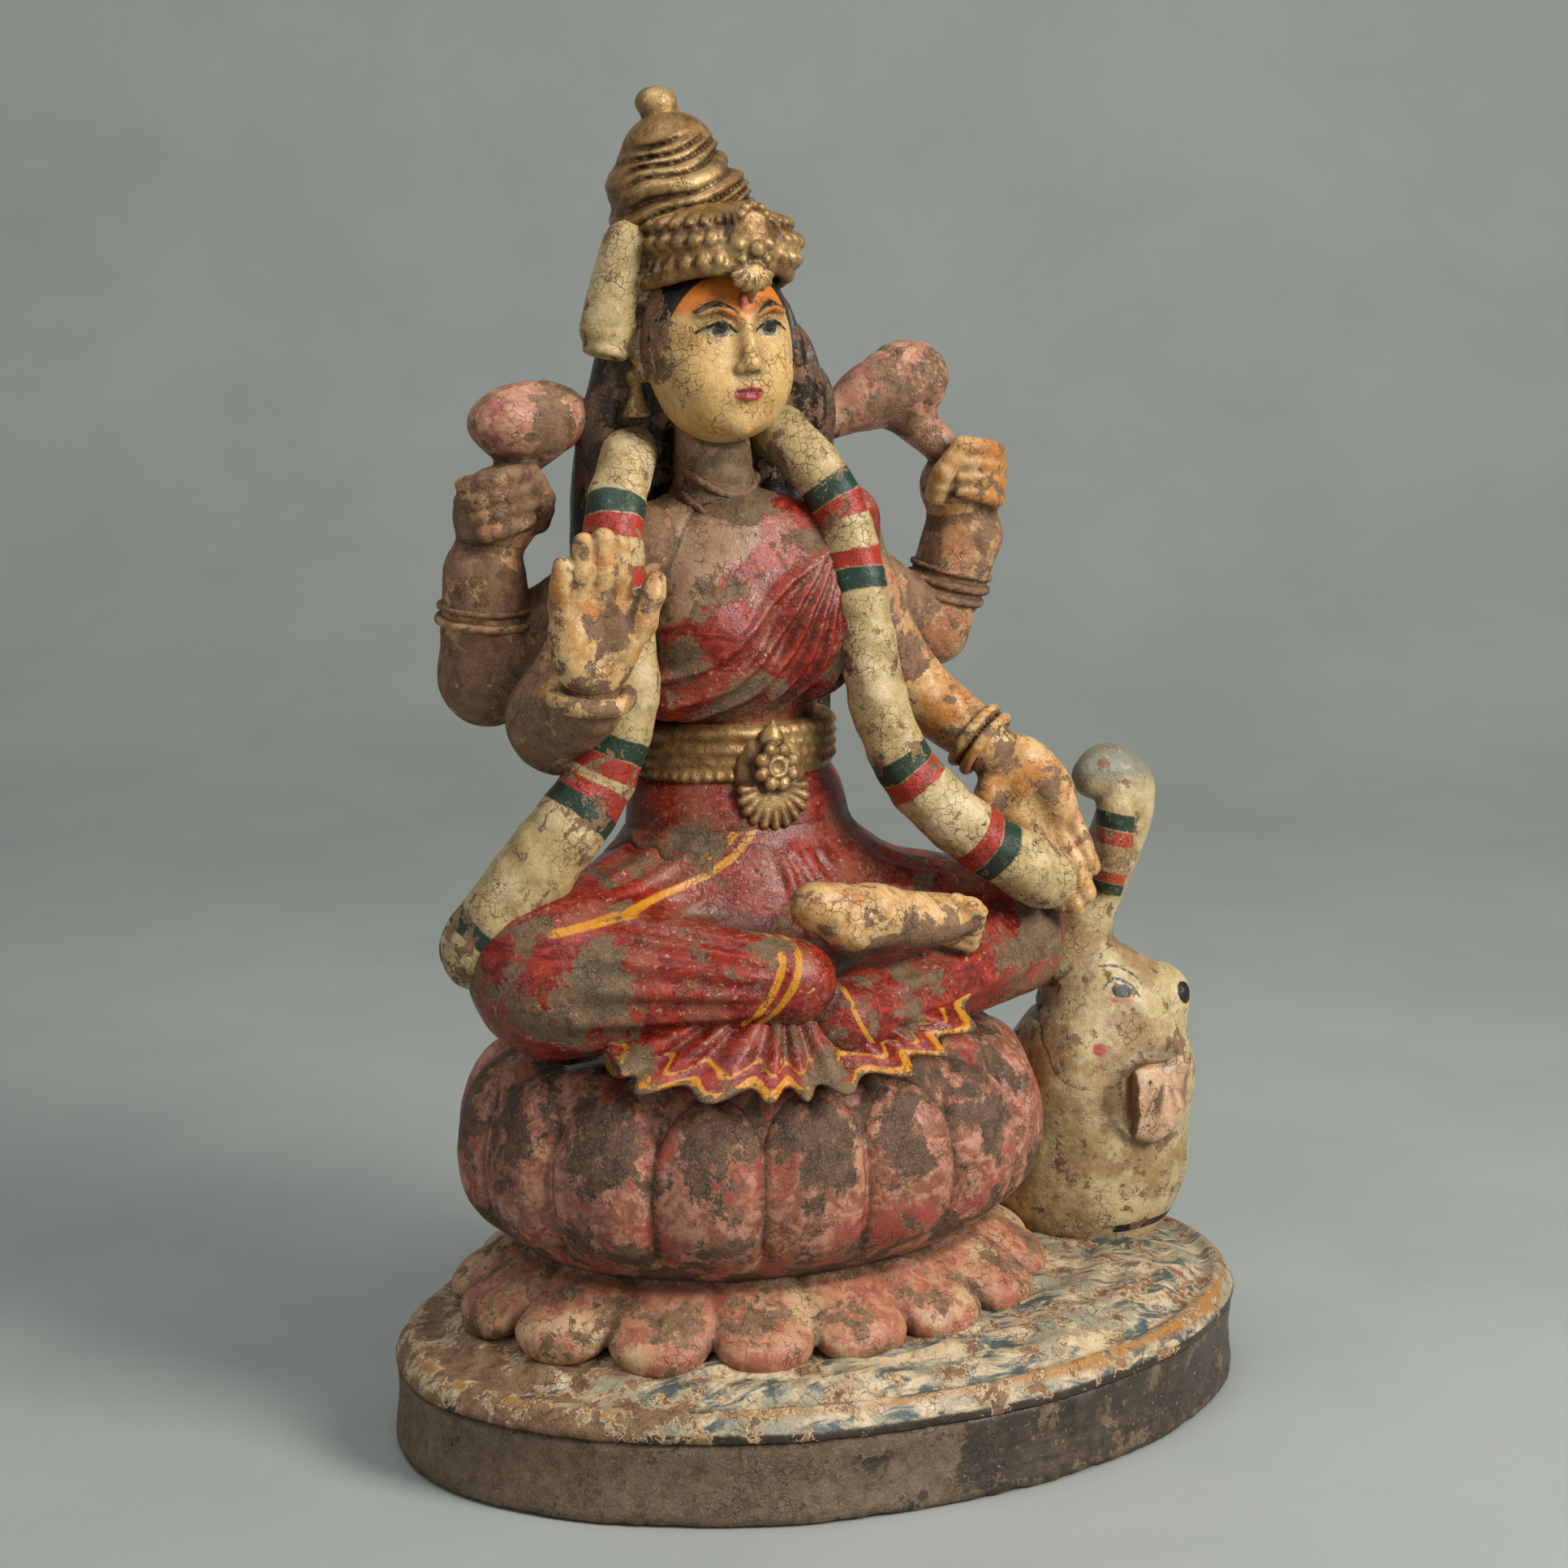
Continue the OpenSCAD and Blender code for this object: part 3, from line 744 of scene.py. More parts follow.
@shape
def lap(p):
    d = blend(egg(p, HIP, (43, 33, 25)), egg(p, HIP + vec(0, -24, -14), (45, 33, 23)), 16)
    d = blend(d, egg(p, HIP + vec(-4, -20, 4), (26, 22, 22)), 12)
    d = blend(d, egg(p, HIP + vec(0, -5, 14), (48, 31, 19)), 12)
    if d is FAR:
        return d
    front = [
        smoothed([HIP + vec(1, -40, 24), HIP + vec(7, -46, 12), HIP + vec(3, -50, 2), HIP + vec(9, -54, -8)]),
        smoothed([HIP + vec(7, -38, 22), HIP + vec(13, -44, 8), HIP + vec(11, -50, -2)]),
        smoothed([HIP + vec(-3, -42, 22), HIP + vec(-1, -48, 8), HIP + vec(-5, -52, -4)]),
        smoothed([HIP + vec(13, -34, 22), HIP + vec(20, -38, 12), HIP + vec(24, -42, 2)]),
    ]
    return pleated(d, p, front, 2.0, 1.5, flat=1)


@shape
def right_leg(p):
    thigh = limb(p, HIP_R, KNEE_R, 30, 26.5)
    thigh = limb_folds(thigh, p, HIP_R, KNEE_R, 27, [
        (-18, -14, 3.2, 1.3, 0.0, 0.8), (-33, -10, 2.2, 1.0, 0.05, 0.95), (-46, -6, 2.6, 1.3, 0.1, 0.9),
        (-60, 4, 1.8, 0.9, 0.1, 1.0), (-73, 10, 3.0, 1.3, 0.15, 1.0), (4, -10, 3.0, 1.0, 0.0, 0.7)])
    shin = limb(p, SHIN_R, ANKLE_R, 25.5, 14.5)
    shin = limb_folds(shin, p, SHIN_R, ANKLE_R, 20, [
        (20, 30, 2.4, 1.2, 0.25, 1.0), (42, 26, 2.6, 1.4, 0.2, 1.0), (64, 20, 3.0, 1.5, 0.1, 1.0),
        (88, 14, 3.0, 1.5, 0.1, 1.0), (112, 6, 3.2, 1.6, 0.0, 1.0), (136, 0, 3.0, 1.4, 0.0, 0.9)])
    return blend(thigh, shin, 9)


@shape
def left_leg(p):
    thigh = limb(p, HIP_L, KNEE_L, 27, 21.5)
    thigh = limb_folds(thigh, p, HIP_L, KNEE_L, 24, [
        (22, 12, 2.4, 1.0, 0.1, 0.9), (38, 8, 2.2, 1.2, 0.15, 0.95), (54, 2, 2.4, 1.0, 0.2, 0.95),
        (70, -6, 2.2, 1.0, 0.3, 1.0)])
    shin = limb(p, SHIN_L, SHIN_END_L, 17.5, 13.5)
    shin = limb_folds(shin, p, SHIN_L, SHIN_END_L, 15, [
        (-58, 8, 3.6, 1.7, 0.1, 0.9), (-92, 2, 3.4, 1.3, 0.1, 0.95), (-28, 6, 2.4, 1.0, 0.1, 0.9)])
    return blend(thigh, shin, 7)


@shape
def right_foot(p):
    across = unit(np.cross(TOES - HEEL, (0, 0, 1)))
    ankle = mix(HEEL, TOES, -0.06) + vec(0, 6, 2)
    d = blend(limb(p, ankle, mix(HEEL, TOES, 0.3), 8.5, 9), limb(p, mix(HEEL, TOES, 0.3), TOES, 9, 6.0), 6)
    d = blend(d, egg(p, mix(HEEL, TOES, 0.12) + vec(0, -1, -4), (9, 8, 7)), 4)
    d = blend(d, egg(p, mix(HEEL, TOES, 0.66) + vec(0, -1, -3), (16, 9.5, 7)), 4)
    for n in range(5):
        root = mix(HEEL, TOES, 0.84) + across * (n - 2) * 2.4 + vec(0, 0, (n - 2) * 3.0 - 1)
        tip = root + (TOES - HEEL) * (0.22 - 0.012 * n) + vec(0, -1, -3)
        d = blend(d, limb(p, root, tip, 3.9 - 0.25 * n, 3.6 - 0.25 * n), 0.7)
    return d


HEM_MIDDLE = math.radians(-105)     # where the middle of the fan lies, round the seat
HEM_TOP, HEM_LOW = 166.0, 134.5


def hem_place(x, y, z):
    """On the skirt's fan: its pleats, from -1 in a valley to 1 on a ridge, and the height above its edge."""
    round_seat = np.arctan2((y - SEAT[1]) / 83, (x - SEAT[0]) / 101) - HEM_MIDDLE
    along_edge = round_seat * 90
    down = HEM_TOP - z
    fan = np.arctan2(along_edge, np.maximum(down, 0) * 1.27 + 9)
    pleat = np.sin(fan * 24 + 1.2 * np.sin(fan * 7))
    low = HEM_LOW + along_edge * along_edge * np.where(along_edge > 0, 0.0026, 0.0014)
    return pleat, z - low + 1.7 * pleat, along_edge


@shape
def sari_hem(p):
    if far_box(p, "sari_hem", 14):
        return FAR
    wall = seat_wall(p)
    pleat, above, along_edge = (v.astype(np.float32) for v in hem_place(p.x, p.y, p.z))
    slope = wall - 12.5 - (F(HEM_TOP - 3) - p.z) * 0.74
    grow = smooth_step((F(HEM_TOP) - p.z) / 20)
    flare = 2.2 * smooth_step((8 - above) / 9)
    outer = slope * 0.8 - 1.7 * pleat * grow - flare
    d = np.abs(outer + 5) - 5
    d = clip(d, -above * 0.85, 2.5)
    d = clip(d, p.z - F(HEM_TOP), 2)
    return clip(d, np.abs(along_edge - 8) - 72, 3)


# ---- torso and sari ----
@shape
def torso(p):
    chest = egg(p, CHEST + vec(0, 1, 4), (38, 23, 31))
    yoke = limb(p, CHEST + vec(-28, 1, 16), CHEST + vec(33, 1, 17), 15, 15)
    ribs = egg(p, WAIST + vec(0, 0, 14), (30, 21.5, 22))
    belly = egg(p, WAIST + vec(0, -1, -19), (38, 28, 23))
    return join(chest, yoke, ribs, belly, k=13)


BUST_R = at("sari_drape", -20.5, 0.5, -7.5)
BUST_L = at("sari_drape", 14, 0.5, -7.5)


def drape_folds():
    """Folds that fall from her left shoulder and fan out over the bust, as paths."""
    top = at("sari_drape", 30, -2, 27)
    ends = [
        ((4, 0, 4), (-6, 0, -10), (-22, 0, -25), (-40, 0, -31)),
        ((7, 0, 0), (1, 0, -13), (-12, 0, -27), (-30, 0, -36)),
        ((11, 0, -2), (7, 0, -16), (-3, 0, -29), (-18, 0, -38)),
        ((15, 0, -2), (13, 0, -16), (6, 0, -30), (-8, 0, -39)),
        ((20, 0, 0), (21, 0, -14), (17, 0, -28), (4, 0, -38)),
        ((25, 0, 4), (29, 0, -10), (27, 0, -24), (15, 0, -36)),
        ((0, 0, 9), (-13, 0, -4), (-30, 0, -17), (-44, 0, -22)),
    ]
    base = at("sari_drape")
    return [smoothed([top + vec(n * 1.4 - 7, 0, -2)] + [base + vec(*e) for e in run], 2)
            for n, run in enumerate(ends)]


DRAPE_FOLDS = drape_folds()


@shape
def sari_drape(p):
    bust = blend(egg(p, BUST_R, (21, 19.5, 23)), egg(p, BUST_L, (21.5, 20, 23.5)), 6)
    under = limb(p, at("sari_drape", -34, 4, -26), at("sari_drape", -5, -4, -19), 11, 12)
    over = limb(p, at("sari_drape", 0, -1, 3), at("sari_drape", 33, 7, 25), 15, 13)
    slope = egg(p, at("sari_drape", -6, 6, 14), (30, 17, 22), turned(0, -22, 0))
    d = join(bust, under, over, slope, k=8)
    if d is FAR:
        return d
    return pleated(d, p, DRAPE_FOLDS, 1.5, 2.5, flat=1)


@shape
def waist_belt(p):
    x, y, z = local(p, WAIST)
    wall, _ = oval_wall(p, WAIST, 34.6, 26.4)
    band = clip(wall, np.abs(z) - 9.2, 2.5)
    if (np.abs(band) > 8).all():
        return band
    angle = np.arctan2(y / 26.4, x / 34.6)
    her_right = smooth_step((-x - 2) / 5)
    rope = 1.5 * (bump(z - 6.6, 1.9) + bump(z - 1.0, 1.5) + 0.8 * bump(z + 3.0, 1.3))
    pitch = 54
    step = angle * F(pitch / (2 * math.pi))
    gap = (step - np.round(step)) * F(2 * math.pi * 30.5 / pitch)
    bead = 2.3 * np.exp(-(gap * gap + (z + 7.4) ** 2) / 3.2)
    half = (step - 0.5) - np.round(step - 0.5)
    gap2 = half * F(2 * math.pi * 30.5 / pitch)
    pearls = 0
    for row, shift in ((6.4, 0), (2.6, 1), (-1.2, 0), (-5.0, 1)):
        g = gap2 if shift else gap
        pearls = pearls + 1.9 * np.exp(-(g * g + (z - F(row)) ** 2) / 2.2)
    return band - her_right * (rope + bead) - (1 - her_right) * pearls - 0.4


@shape
def belt_buckle(p):
    if p.misses(BUCKLE, 24):
        return FAR
    turn = turned(-6, 0, -4)
    rose = put(BUCKLE, turn, 0, -1.2, 3.6)
    d = egg(p, put(BUCKLE, turn, 0, 4, 2), (12.5, 5, 13), turn)
    d = blend(d, egg(p, put(BUCKLE, turn, 0, 0.4, 12.6), (4.4, 2.8, 5.0), turn), 1.5)
    d = blend(d, limb(p, put(BUCKLE, turn, 0, -0.2, 13.5), put(BUCKLE, turn, 0.6, 0.6, 18.6), 2.6, 0.8), 1.2)
    d = blend(d, egg(p, rose, (7.2, 2.4, 7.2), turn), 1.0)
    for n in range(8):
        a = math.radians(n * 45 + 20)
        spot = rose + turn @ vec(6.0 * math.cos(a), -1.4, 6.0 * math.sin(a))
        d = blend(d, egg(p, spot, (2.5, 1.9, 2.5), turn), 0.5)
    d = blend(d, hoop(p, rose + turn @ vec(0, -2.2, 0), turn @ vec(0, 1, 0), 2.9, 0.9), 0.4)
    d = carve(d, ball(p, rose + turn @ vec(0, -4.2, 0), 2.5), 0.6)
    hub = put(BUCKLE, turn, 0, 0.6, -2.5)
    for n in range(11):
        a = math.radians(-90 + (n - 5) * 17)
        out = vec(math.cos(a), 0, math.sin(a))
        root = hub + turn @ (out * 4)
        tip = hub + turn @ (out * (13.6 - 0.10 * (n - 5) ** 2) + vec(0, 0.6, 0))
        d = blend(d, limb(p, root, tip, 1.1, 1.9), 0.4)
    return d


# ---- head ----
EYE_X, EYE_Z = 9.0, 10.2


@shape
def neck(p):
    d = limb(p, NECK + vec(1, 3, -20), NECK + vec(-3, -1, 16), 15.5, 12.0)
    if d is FAR:
        return d
    _, y, h = local(p, NECK)
    for z in (2.0, -5.0):
        d = d + 0.5 * bump(h - F(z) + y * 0.25, 1.0)
    return d


def at_head(x, y, z):
    return HEAD + vec(x, y, z)


@shape
def head(p):
    if p.misses(HEAD, 36):
        return FAR
    skull = egg(p, at_head(0, 3, 12), (24.2, 24.5, 23.5))
    face = egg(p, at_head(0, -3.0, -1), (24.0, 19.6, 24.5))
    jaw = egg(p, at_head(0, -8.5, -13.5), (17.5, 12.4, 11.5))
    d = join(skull, face, jaw, k=9)
    for side in (-1, 1):
        d = blend(d, egg(p, at_head(side * 10.5, -14.2, -5.5), (8.2, 7.2, 8.5)), 6)
        d = carve(d, egg(p, at_head(side * EYE_X, -26.2, EYE_Z + 0.4), (7.4, 5.6, 4.8)), 4)
        eye = egg(p, at_head(side * EYE_X, -16.4, EYE_Z - 0.4), (5.7, 4.6, 3.7))
        d = blend(d, eye, 0.5)
        lid = [at_head(side * x, y, z + EYE_Z) for x, y, z in
               ((3.4, -19.6, -1.0), (6.0, -21.0, 1.2), (9.0, -21.4, 2.0), (12.2, -20.3, 1.4),
                (14.8, -18.2, -0.6))]
        d = blend(d, tube(p, lid, [0.6, 1.1, 1.3, 1.1, 0.5], 0.5), 1.0)
        low = [at_head(side * x, y, z + EYE_Z) for x, y, z in
               ((3.8, -19.8, -1.2), (6.6, -20.6, -2.6), (9.2, -20.7, -3.1), (12.2, -19.6, -2.3),
                (14.4, -18.2, -0.6))]
        d = blend(d, tube(p, low, [0.4, 0.6, 0.7, 0.6, 0.4], 0.5), 1.0)
        brow = [at_head(side * x, y, z) for x, y, z in
                ((4.0, -22.4, 15.2), (9.0, -22.4, 17.4), (15.0, -19.0, 15.6))]
        d = blend(d, tube(p, brow, [1.0, 1.2, 0.8], 1), 3)
        nostril = ball(p, at_head(side * 2.9, -24.4, -1.9), 1.9)
        d = blend(d, nostril, 1.4)
        ear = blend(egg(p, at_head(side * 23.0, 6.5, 4), (2.4, 5.2, 8.6)),
                    egg(p, at_head(side * 23.4, 5.5, -4.5), (2.2, 3.2, 3.6)), 2)
        d = blend(d, ear, 1.5)
    d = blend(d, limb(p, at_head(0, -21.4, 13), at_head(0, -25.8, 1.0), 1.7, 2.3), 3.0)
    d = blend(d, egg(p, at_head(0, -26.4, -0.7), (2.7, 2.6, 2.3)), 1.8)
    for side in (-1, 1):
        hole = ball(p, at_head(side * 1.7, -26.0, -3.2), 0.8)
        d = carve(d, hole, 0.5)
    muzzle = egg(p, at_head(0, -20.0, -9.0), (7.2, 4.0, 5.2))
    d = blend(d, muzzle, 3)
    d = crease(d, lines(p, [[at_head(0, -25, -4), at_head(0, -25, -7.6)]]), 1.0, 0.5)
    upper = join(limb(p, at_head(-1.6, -24.0, -8.6), at_head(-5.6, -21.8, -9.4), 1.3, 0.5),
                 limb(p, at_head(1.6, -24.0, -8.6), at_head(5.6, -21.8, -9.4), 1.3, 0.5), k=0.6)
    lower = egg(p, at_head(0, -23.2, -11.4), (4.2, 1.9, 1.6))
    d = blend(d, blend(upper, lower, 0.3), 0.7)
    seam = lines(p,
                 [smoothed([at_head(-6.2, -21.4, -9.5), at_head(-2.4, -24.6, -10.0), at_head(0, -25.0, -9.7),
                               at_head(2.4, -24.6, -10.0), at_head(6.2, -21.4, -9.5)])])
    d = crease(d, seam, 0.55, 0.9)
    d = blend(d, egg(p, at_head(0, -18.4, -19.6), (5.2, 3.6, 4.4)), 4)
    return d


@shape
def hair_back(p):
    """Loose hair that falls behind the head and spreads like a cape over the back."""
    x, y, z = local(p, at("hair_back"))
    high = smooth_step((z - 28) / 62)
    side = (np.abs(x + 2 * high) - 47.5 + 21 * high) * 0.85
    deep = np.abs(y + 8 * smooth_step((z - 8) / 46) + 0.0035 * x * x - 4) - 10.5
    d = clip(side, deep, 12)
    d = clip(d, np.abs(z + 2) - 84, 16)
    d = blend(d, egg(p, at("hair_back", -6, -6.5, 60), (26.5, 19, 30)), 10)
    if d is FAR:
        return d
    strand = np.sin(x * 0.85 + 1.6 * np.sin(z * 0.06 + x * 0.1) + z * 0.03 * np.sign(x))
    return d - 0.55 * strand


BROW_BAND = [at_head(x * 0.96, y * 0.96, z + 2.2) for x, y, z in
             ((-25.5, 4, 21), (-22.5, -9, 24), (-14, -19.5, 27.0), (-5, -24, 27.5), (0, -25, 26.0),
              (5, -24, 27.5), (14, -19.5, 27.0), (22.5, -9, 24), (25.5, 4, 21))]


@shape
def tiara(p):
    if p.misses(TIARA, 44):
        return FAR
    band = blend(egg(p, at("tiara", 0, 1, -2), (25.6, 25.6, 11)),
                 egg(p, at("tiara", -1, 4.5, 5), (24.5, 23.5, 9.5)), 5)
    x, y, z = local(p, TIARA)
    band = clip(band, -z - 10.2 + y * 0.10 - 0.1 * np.abs(x), 1.5)
    angle = np.arctan2(x + 0.5, -(y - 2))
    roll = tube(p, BROW_BAND, [2.5] * len(BROW_BAND), 1.0)
    d = blend(band, roll, 1.5)
    pitch = math.radians(12.5)
    for row, height, size, shift in ((-5.6, 2.0, 2.35, 0.0), (1.6, 2.3, 2.7, 0.5), (7.6, 1.7, 2.2, 0.0)):
        step = angle / F(pitch) - F(shift)
        gap = (step - np.round(step)) * F(pitch * 25.5)
        rise = z - F(row) - 1.2 * np.cos(angle * 2) + y * 0.04
        dots = np.exp(-((gap * gap + rise * rise) / F(size * size)) ** 2)
        side = smooth_step((np.abs(angle) - F(0.34 if row < 5 else 0.2)) / 0.1)
        d = d - F(height) * dots * side
    turn = turned(8, 0, 0)
    knob = at("tiara", -1, -26.2, -2.5)
    d = blend(d, egg(p, at("tiara", -1, -22.6, 1), (8.0, 4.2, 8.0), turn), 1.5)
    d = blend(d, ball(p, knob + vec(0, -0.4, 2.0), 2.9), 0.8)
    for n in range(7):
        a = math.radians(n * 360 / 7 + 12)
        spot = knob + vec(5.4 * math.cos(a), 1.5, 2.0 + 5.4 * math.sin(a))
        d = blend(d, ball(p, spot, 2.0), 0.6)
    leaf = at("tiara", -1, -22.4, 8.2)
    d = blend(d, egg(p, leaf, (6.4, 3.2, 6.6), turned(-18, 0, 0)), 1.0)
    for n in range(5):
        a = math.radians(90 + (n - 2) * 34)
        spot = leaf + vec(4.8 * math.cos(a), -1.6, 4.8 * math.sin(a))
        d = blend(d, ball(p, spot, 1.6), 0.5)
    drop = at("tiara", -2, -25.4, -9.4)
    fan = egg(p, drop, (7.6, 2.6, 4.8), turned(-10, 0, 0))
    fan = blend(fan, limb(p, drop + vec(0, 0, -2), drop + vec(0, 1.2, -7.4), 2.6, 0.9), 2.0)
    x, _, z = local(p, drop + vec(0, 0, 5))
    if fan is not FAR:
        flutes = np.cos(np.arctan2(x, -z) * 18) * smooth_step((np.sqrt(x * x + z * z) - 1.5) / 3)
        fan = fan - 0.45 * flutes
    return blend(d, fan, 0.8)


@shape
def crown(p):
    if p.misses(CROWN, 46):
        return FAR
    x, y, z = local(p, CROWN)
    base = blend(egg(p, CROWN + vec(1, -1, -3), (25.8, 24.5, 11)),
                 egg(p, CROWN + vec(-1, 2, 8), (23.4, 22.6, 11)), 6)
    d = blend(base, egg(p, CROWN + vec(-2, 5.4, 19), (15.4, 15.4, 13.5)), 8)
    lean = z - x * 0.34 + y * 0.10 + 1.6 * wander(x, y, z, 17, 41)
    coil = lean / 4.5 + 0.30 * np.sin(lean * 0.31)
    ridge = 1 - np.abs(np.sin(coil * F(math.pi))) ** 0.8
    fade = smooth_step((lean + 12) / 6) * smooth_step((27 - z) / 5)
    rear = smooth_step((y - 4 - x * 0.6) / 10) * smooth_step((-x - 2) / 8)
    d = d + (2.3 * ridge - 0.8) * fade * (1 - 0.85 * rear)
    fine = np.abs(np.sin(coil * F(math.pi * 3) + 0.8)) * 0.35
    return d + fine * fade * (1 - rear)


@shape
def crown_finial(p):
    d = egg(p, FINIAL + vec(-0.6, 0.4, 1.2), (7.0, 6.8, 5.4))
    d = blend(d, limb(p, FINIAL + vec(0.8, -1.2, -9), FINIAL + vec(0, 0, 0), 7.4, 5.0), 2.0)
    d = blend(d, egg(p, FINIAL + vec(4.6, -1.0, -4.0), (3.6, 3.6, 4.0)), 1.2)
    d = blend(d, hoop(p, FINIAL + vec(0.8, -1.0, -9.5), (0.1, 0, 1), 6.4, 2.2), 1.5)
    return d


@shape
def hair_garland(p):
    top, end = at("hair_garland", 2.6, -2.2, 13.0), at("hair_garland", -5.2, -2.2, -13.8)
    d = limb(p, top, end, 8.4, 8.8)
    web = limb(p, at("hair_garland", 12, 0, 9), at("hair_garland", 10.0, 1.5, -17), 11.0, 10.6)
    if d is FAR:
        return web
    d = blend(d, web, 3)
    d = d - 1.5 * wander(p.x, p.y, p.z, 5.0, 51) * smooth_step((web * F(-0.3) + 1) / 1)
    mouth = end + vec(-1.0, -1.0, -6.8)
    d = blend(d, hoop(p, mouth, (-0.25, -0.1, -1), 5.6, 2.0), 1.2)
    slot = limb(p, mouth + vec(0, -1, -2.0), mouth + vec(0, -0.6, 1.4), 4.2, 3.0)
    return carve(d, slot, 1.0)


@shape
def earrings(p):
    d = FAR
    for side in (-1, 1):
        lobe = at("earrings", side * 24, 0, 4.7)
        d = join(d, egg(p, lobe + vec(side * 0.6, -0.6, 0), (3.2, 3.8, 4.0)), k=0)
        d = blend(d, ball(p, lobe + vec(side * 2.6, -1.5, 0.2), 1.8), 0.8)
        d = blend(d, limb(p, lobe + vec(0, -0.6, -4.4), lobe + vec(0, -0.6, -12.2), 2.0, 4.4), 0.8)
        d = clip(d, lobe[2] - 13.6 - p.z, 0.8)
        d = blend(d, hoop(p, lobe + vec(0, -0.6, -12.4), (0, 0, 1), 4.0, 1.0), 0.5)
    return d


def neck_string(wide, lift, drop):
    """The path of a string that hangs across the chest."""
    across = (-1, -0.72, -0.38, 0, 0.38, 0.72, 1)
    return smoothed([NECK + vec(dx * wide, 0, lift + drop * (1 - dx * dx)) for dx in across], 2)


NECK_STRINGS = [neck_string(16, 4, -9), neck_string(19, 0, -15)]


@shape
def necklace(p):
    """Two thin strings and a small drop, lying on the neck and chest."""
    if p.misses(at("necklace"), 30):
        return FAR
    body = join(torso(p), neck(p), k=12)
    string = lines(p, NECK_STRINGS, flat=1, reach=6)
    drop = lines(p, [[NECK + vec(1, 0, -16), NECK + vec(1, 0, -19)]], flat=1, reach=6)
    if body is FAR or string is FAR:
        return FAR
    d = np.sqrt(body * body + string * string) - 1.5 - 0.3 * np.sin(p.x * 2.2)
    if drop is not FAR:
        d = blend(d, np.sqrt((body * 1.2) ** 2 + drop * drop) - 3.4, 1)
    return np.maximum(d, p.y - F(NECK[1] - 3))


# ---- arms and hands ----
@shape
def right_front_upper_arm(p):
    return blend(limb(p, SHOULDER_RF, ELBOW_RF, 14.5, 15), ball(p, SHOULDER_RF + vec(4, 0, 2), 15.5), 4)


@shape
def right_front_forearm(p):
    return limb(p, ELBOW_RF + vec(0, -2, 0), WRIST_RF, 17.5, 11.5)


def fingers(p, turn, palm, roots, tips, radii, k):
    d = FAR
    for root, tip, r in zip(roots, tips, radii):
        a, b = put(palm, turn, *root), put(palm, turn, *tip)
        bend = (a + b) / 2 + turn @ vec(0, -0.8, 0)
        d = blend(d, tube(p, [a, bend, b], [r, r * 0.97, r * 0.86], 1), k)
    return d


@shape
def blessing_hand(p):
    if p.misses(PALM_RF, 46):
        return FAR
    turn = axes((0.02, -0.1, 1), (-0.12, -1, -0.1))
    d = egg(p, put(PALM_RF, turn, 0, 0.5, -4), (14.6, 6.6, 16), turn)
    d = blend(d, egg(p, put(PALM_RF, turn, -7.5, -3.0, -9), (6.2, 5.0, 10.5), turn), 4)
    d = blend(d, egg(p, put(PALM_RF, turn, 8.0, -3.5, -9), (6.0, 5.2, 9.5), turn), 4)
    d = blend(d, egg(p, put(PALM_RF, turn, 0.5, -2.2, -17), (10.5, 6.5, 7.5), turn), 4)
    d = carve(d, egg(p, put(PALM_RF, turn, 1.5, -9.5, -1.5), (5.5, 4.0, 7.0), turn), 3)
    roots = [(-11.4, 0, 4), (-5.0, 0, 6), (1.6, 0, 6), (8.0, 0, 5)]
    tips = [(-10.8, -1.2, 17.0), (-4.8, -1.8, 24.6), (1.4, -1.8, 26.0), (7.0, -1.4, 23.8)]
    d = blend(d, fingers(p, turn, PALM_RF, roots, tips, (4.0, 4.3, 4.4, 4.2), 0.7), 2.2)
    thumb = [put(PALM_RF, turn, *v) for v in ((9.5, -4, -9), (15.0, -5.4, 0), (17.6, -5.4, 9.0),
                                              (18.6, -4.6, 13.0))]
    d = blend(d, tube(p, thumb, [4.8, 4.3, 3.8, 3.2], 2), 2.4)
    web = limb(p, put(PALM_RF, turn, 8, 0, 3), put(PALM_RF, turn, 15, -2.5, 4), 3.2, 2.8)
    return blend(d, web, 3)


@shape
def left_front_upper_arm(p):
    return blend(limb(p, SHOULDER_LF, ELBOW_LF, 14.5, 12.5), ball(p, SHOULDER_LF + vec(-2, 0, 2), 15), 4)


@shape
def left_front_forearm(p):
    return limb(p, ELBOW_LF, WRIST_LF, 12.8, 9.3)


@shape
def giving_hand(p):
    if p.misses(PALM_LF, 56):
        return FAR
    turn = axes((16, -11, -44), (-0.40, -1, 0.12))
    d = egg(p, put(PALM_LF, turn, 0, 0.5, -3), (15.0, 7.6, 17), turn)
    d = blend(d, egg(p, put(PALM_LF, turn, 0, -0.6, -16), (10.8, 7.6, 10.5), turn), 6)
    d = blend(d, egg(p, put(PALM_LF, turn, -7.0, -3.4, -4), (6.4, 5.0, 12.5), turn), 4)
    d = carve(d, egg(p, put(PALM_LF, turn, 2.5, -10.0, 2), (5.5, 4.2, 8.0), turn), 3)
    roots = [(-9.8, -1, 8), (-4.2, -1.4, 10), (1.6, -1.4, 11), (7.4, -1, 9)]
    tips = [(-9.0, -3.4, 26), (-3.6, -4.4, 33.5), (1.8, -4.4, 36.5), (6.6, -3.4, 33)]
    d = blend(d, fingers(p, turn, PALM_LF, roots, tips, (3.7, 4.1, 4.2, 4.0), 0.9), 2.0)
    thumb = [put(PALM_LF, turn, *v) for v in ((8.5, -2.0, -17), (14.0, -3.4, -11), (18.5, -3.8, -4),
                                              (20.5, -3.2, 2.5))]
    return blend(d, tube(p, thumb, [5.4, 4.9, 4.3, 3.4], 2), 3.2)


@shape
def right_back_upper_arm(p):
    return limb(p, SHOULDER_RB, ELBOW_RB, 14.5, 15.2)


@shape
def right_back_forearm(p):
    return limb(p, ELBOW_RB, WRIST_RB, 16, 13.5)


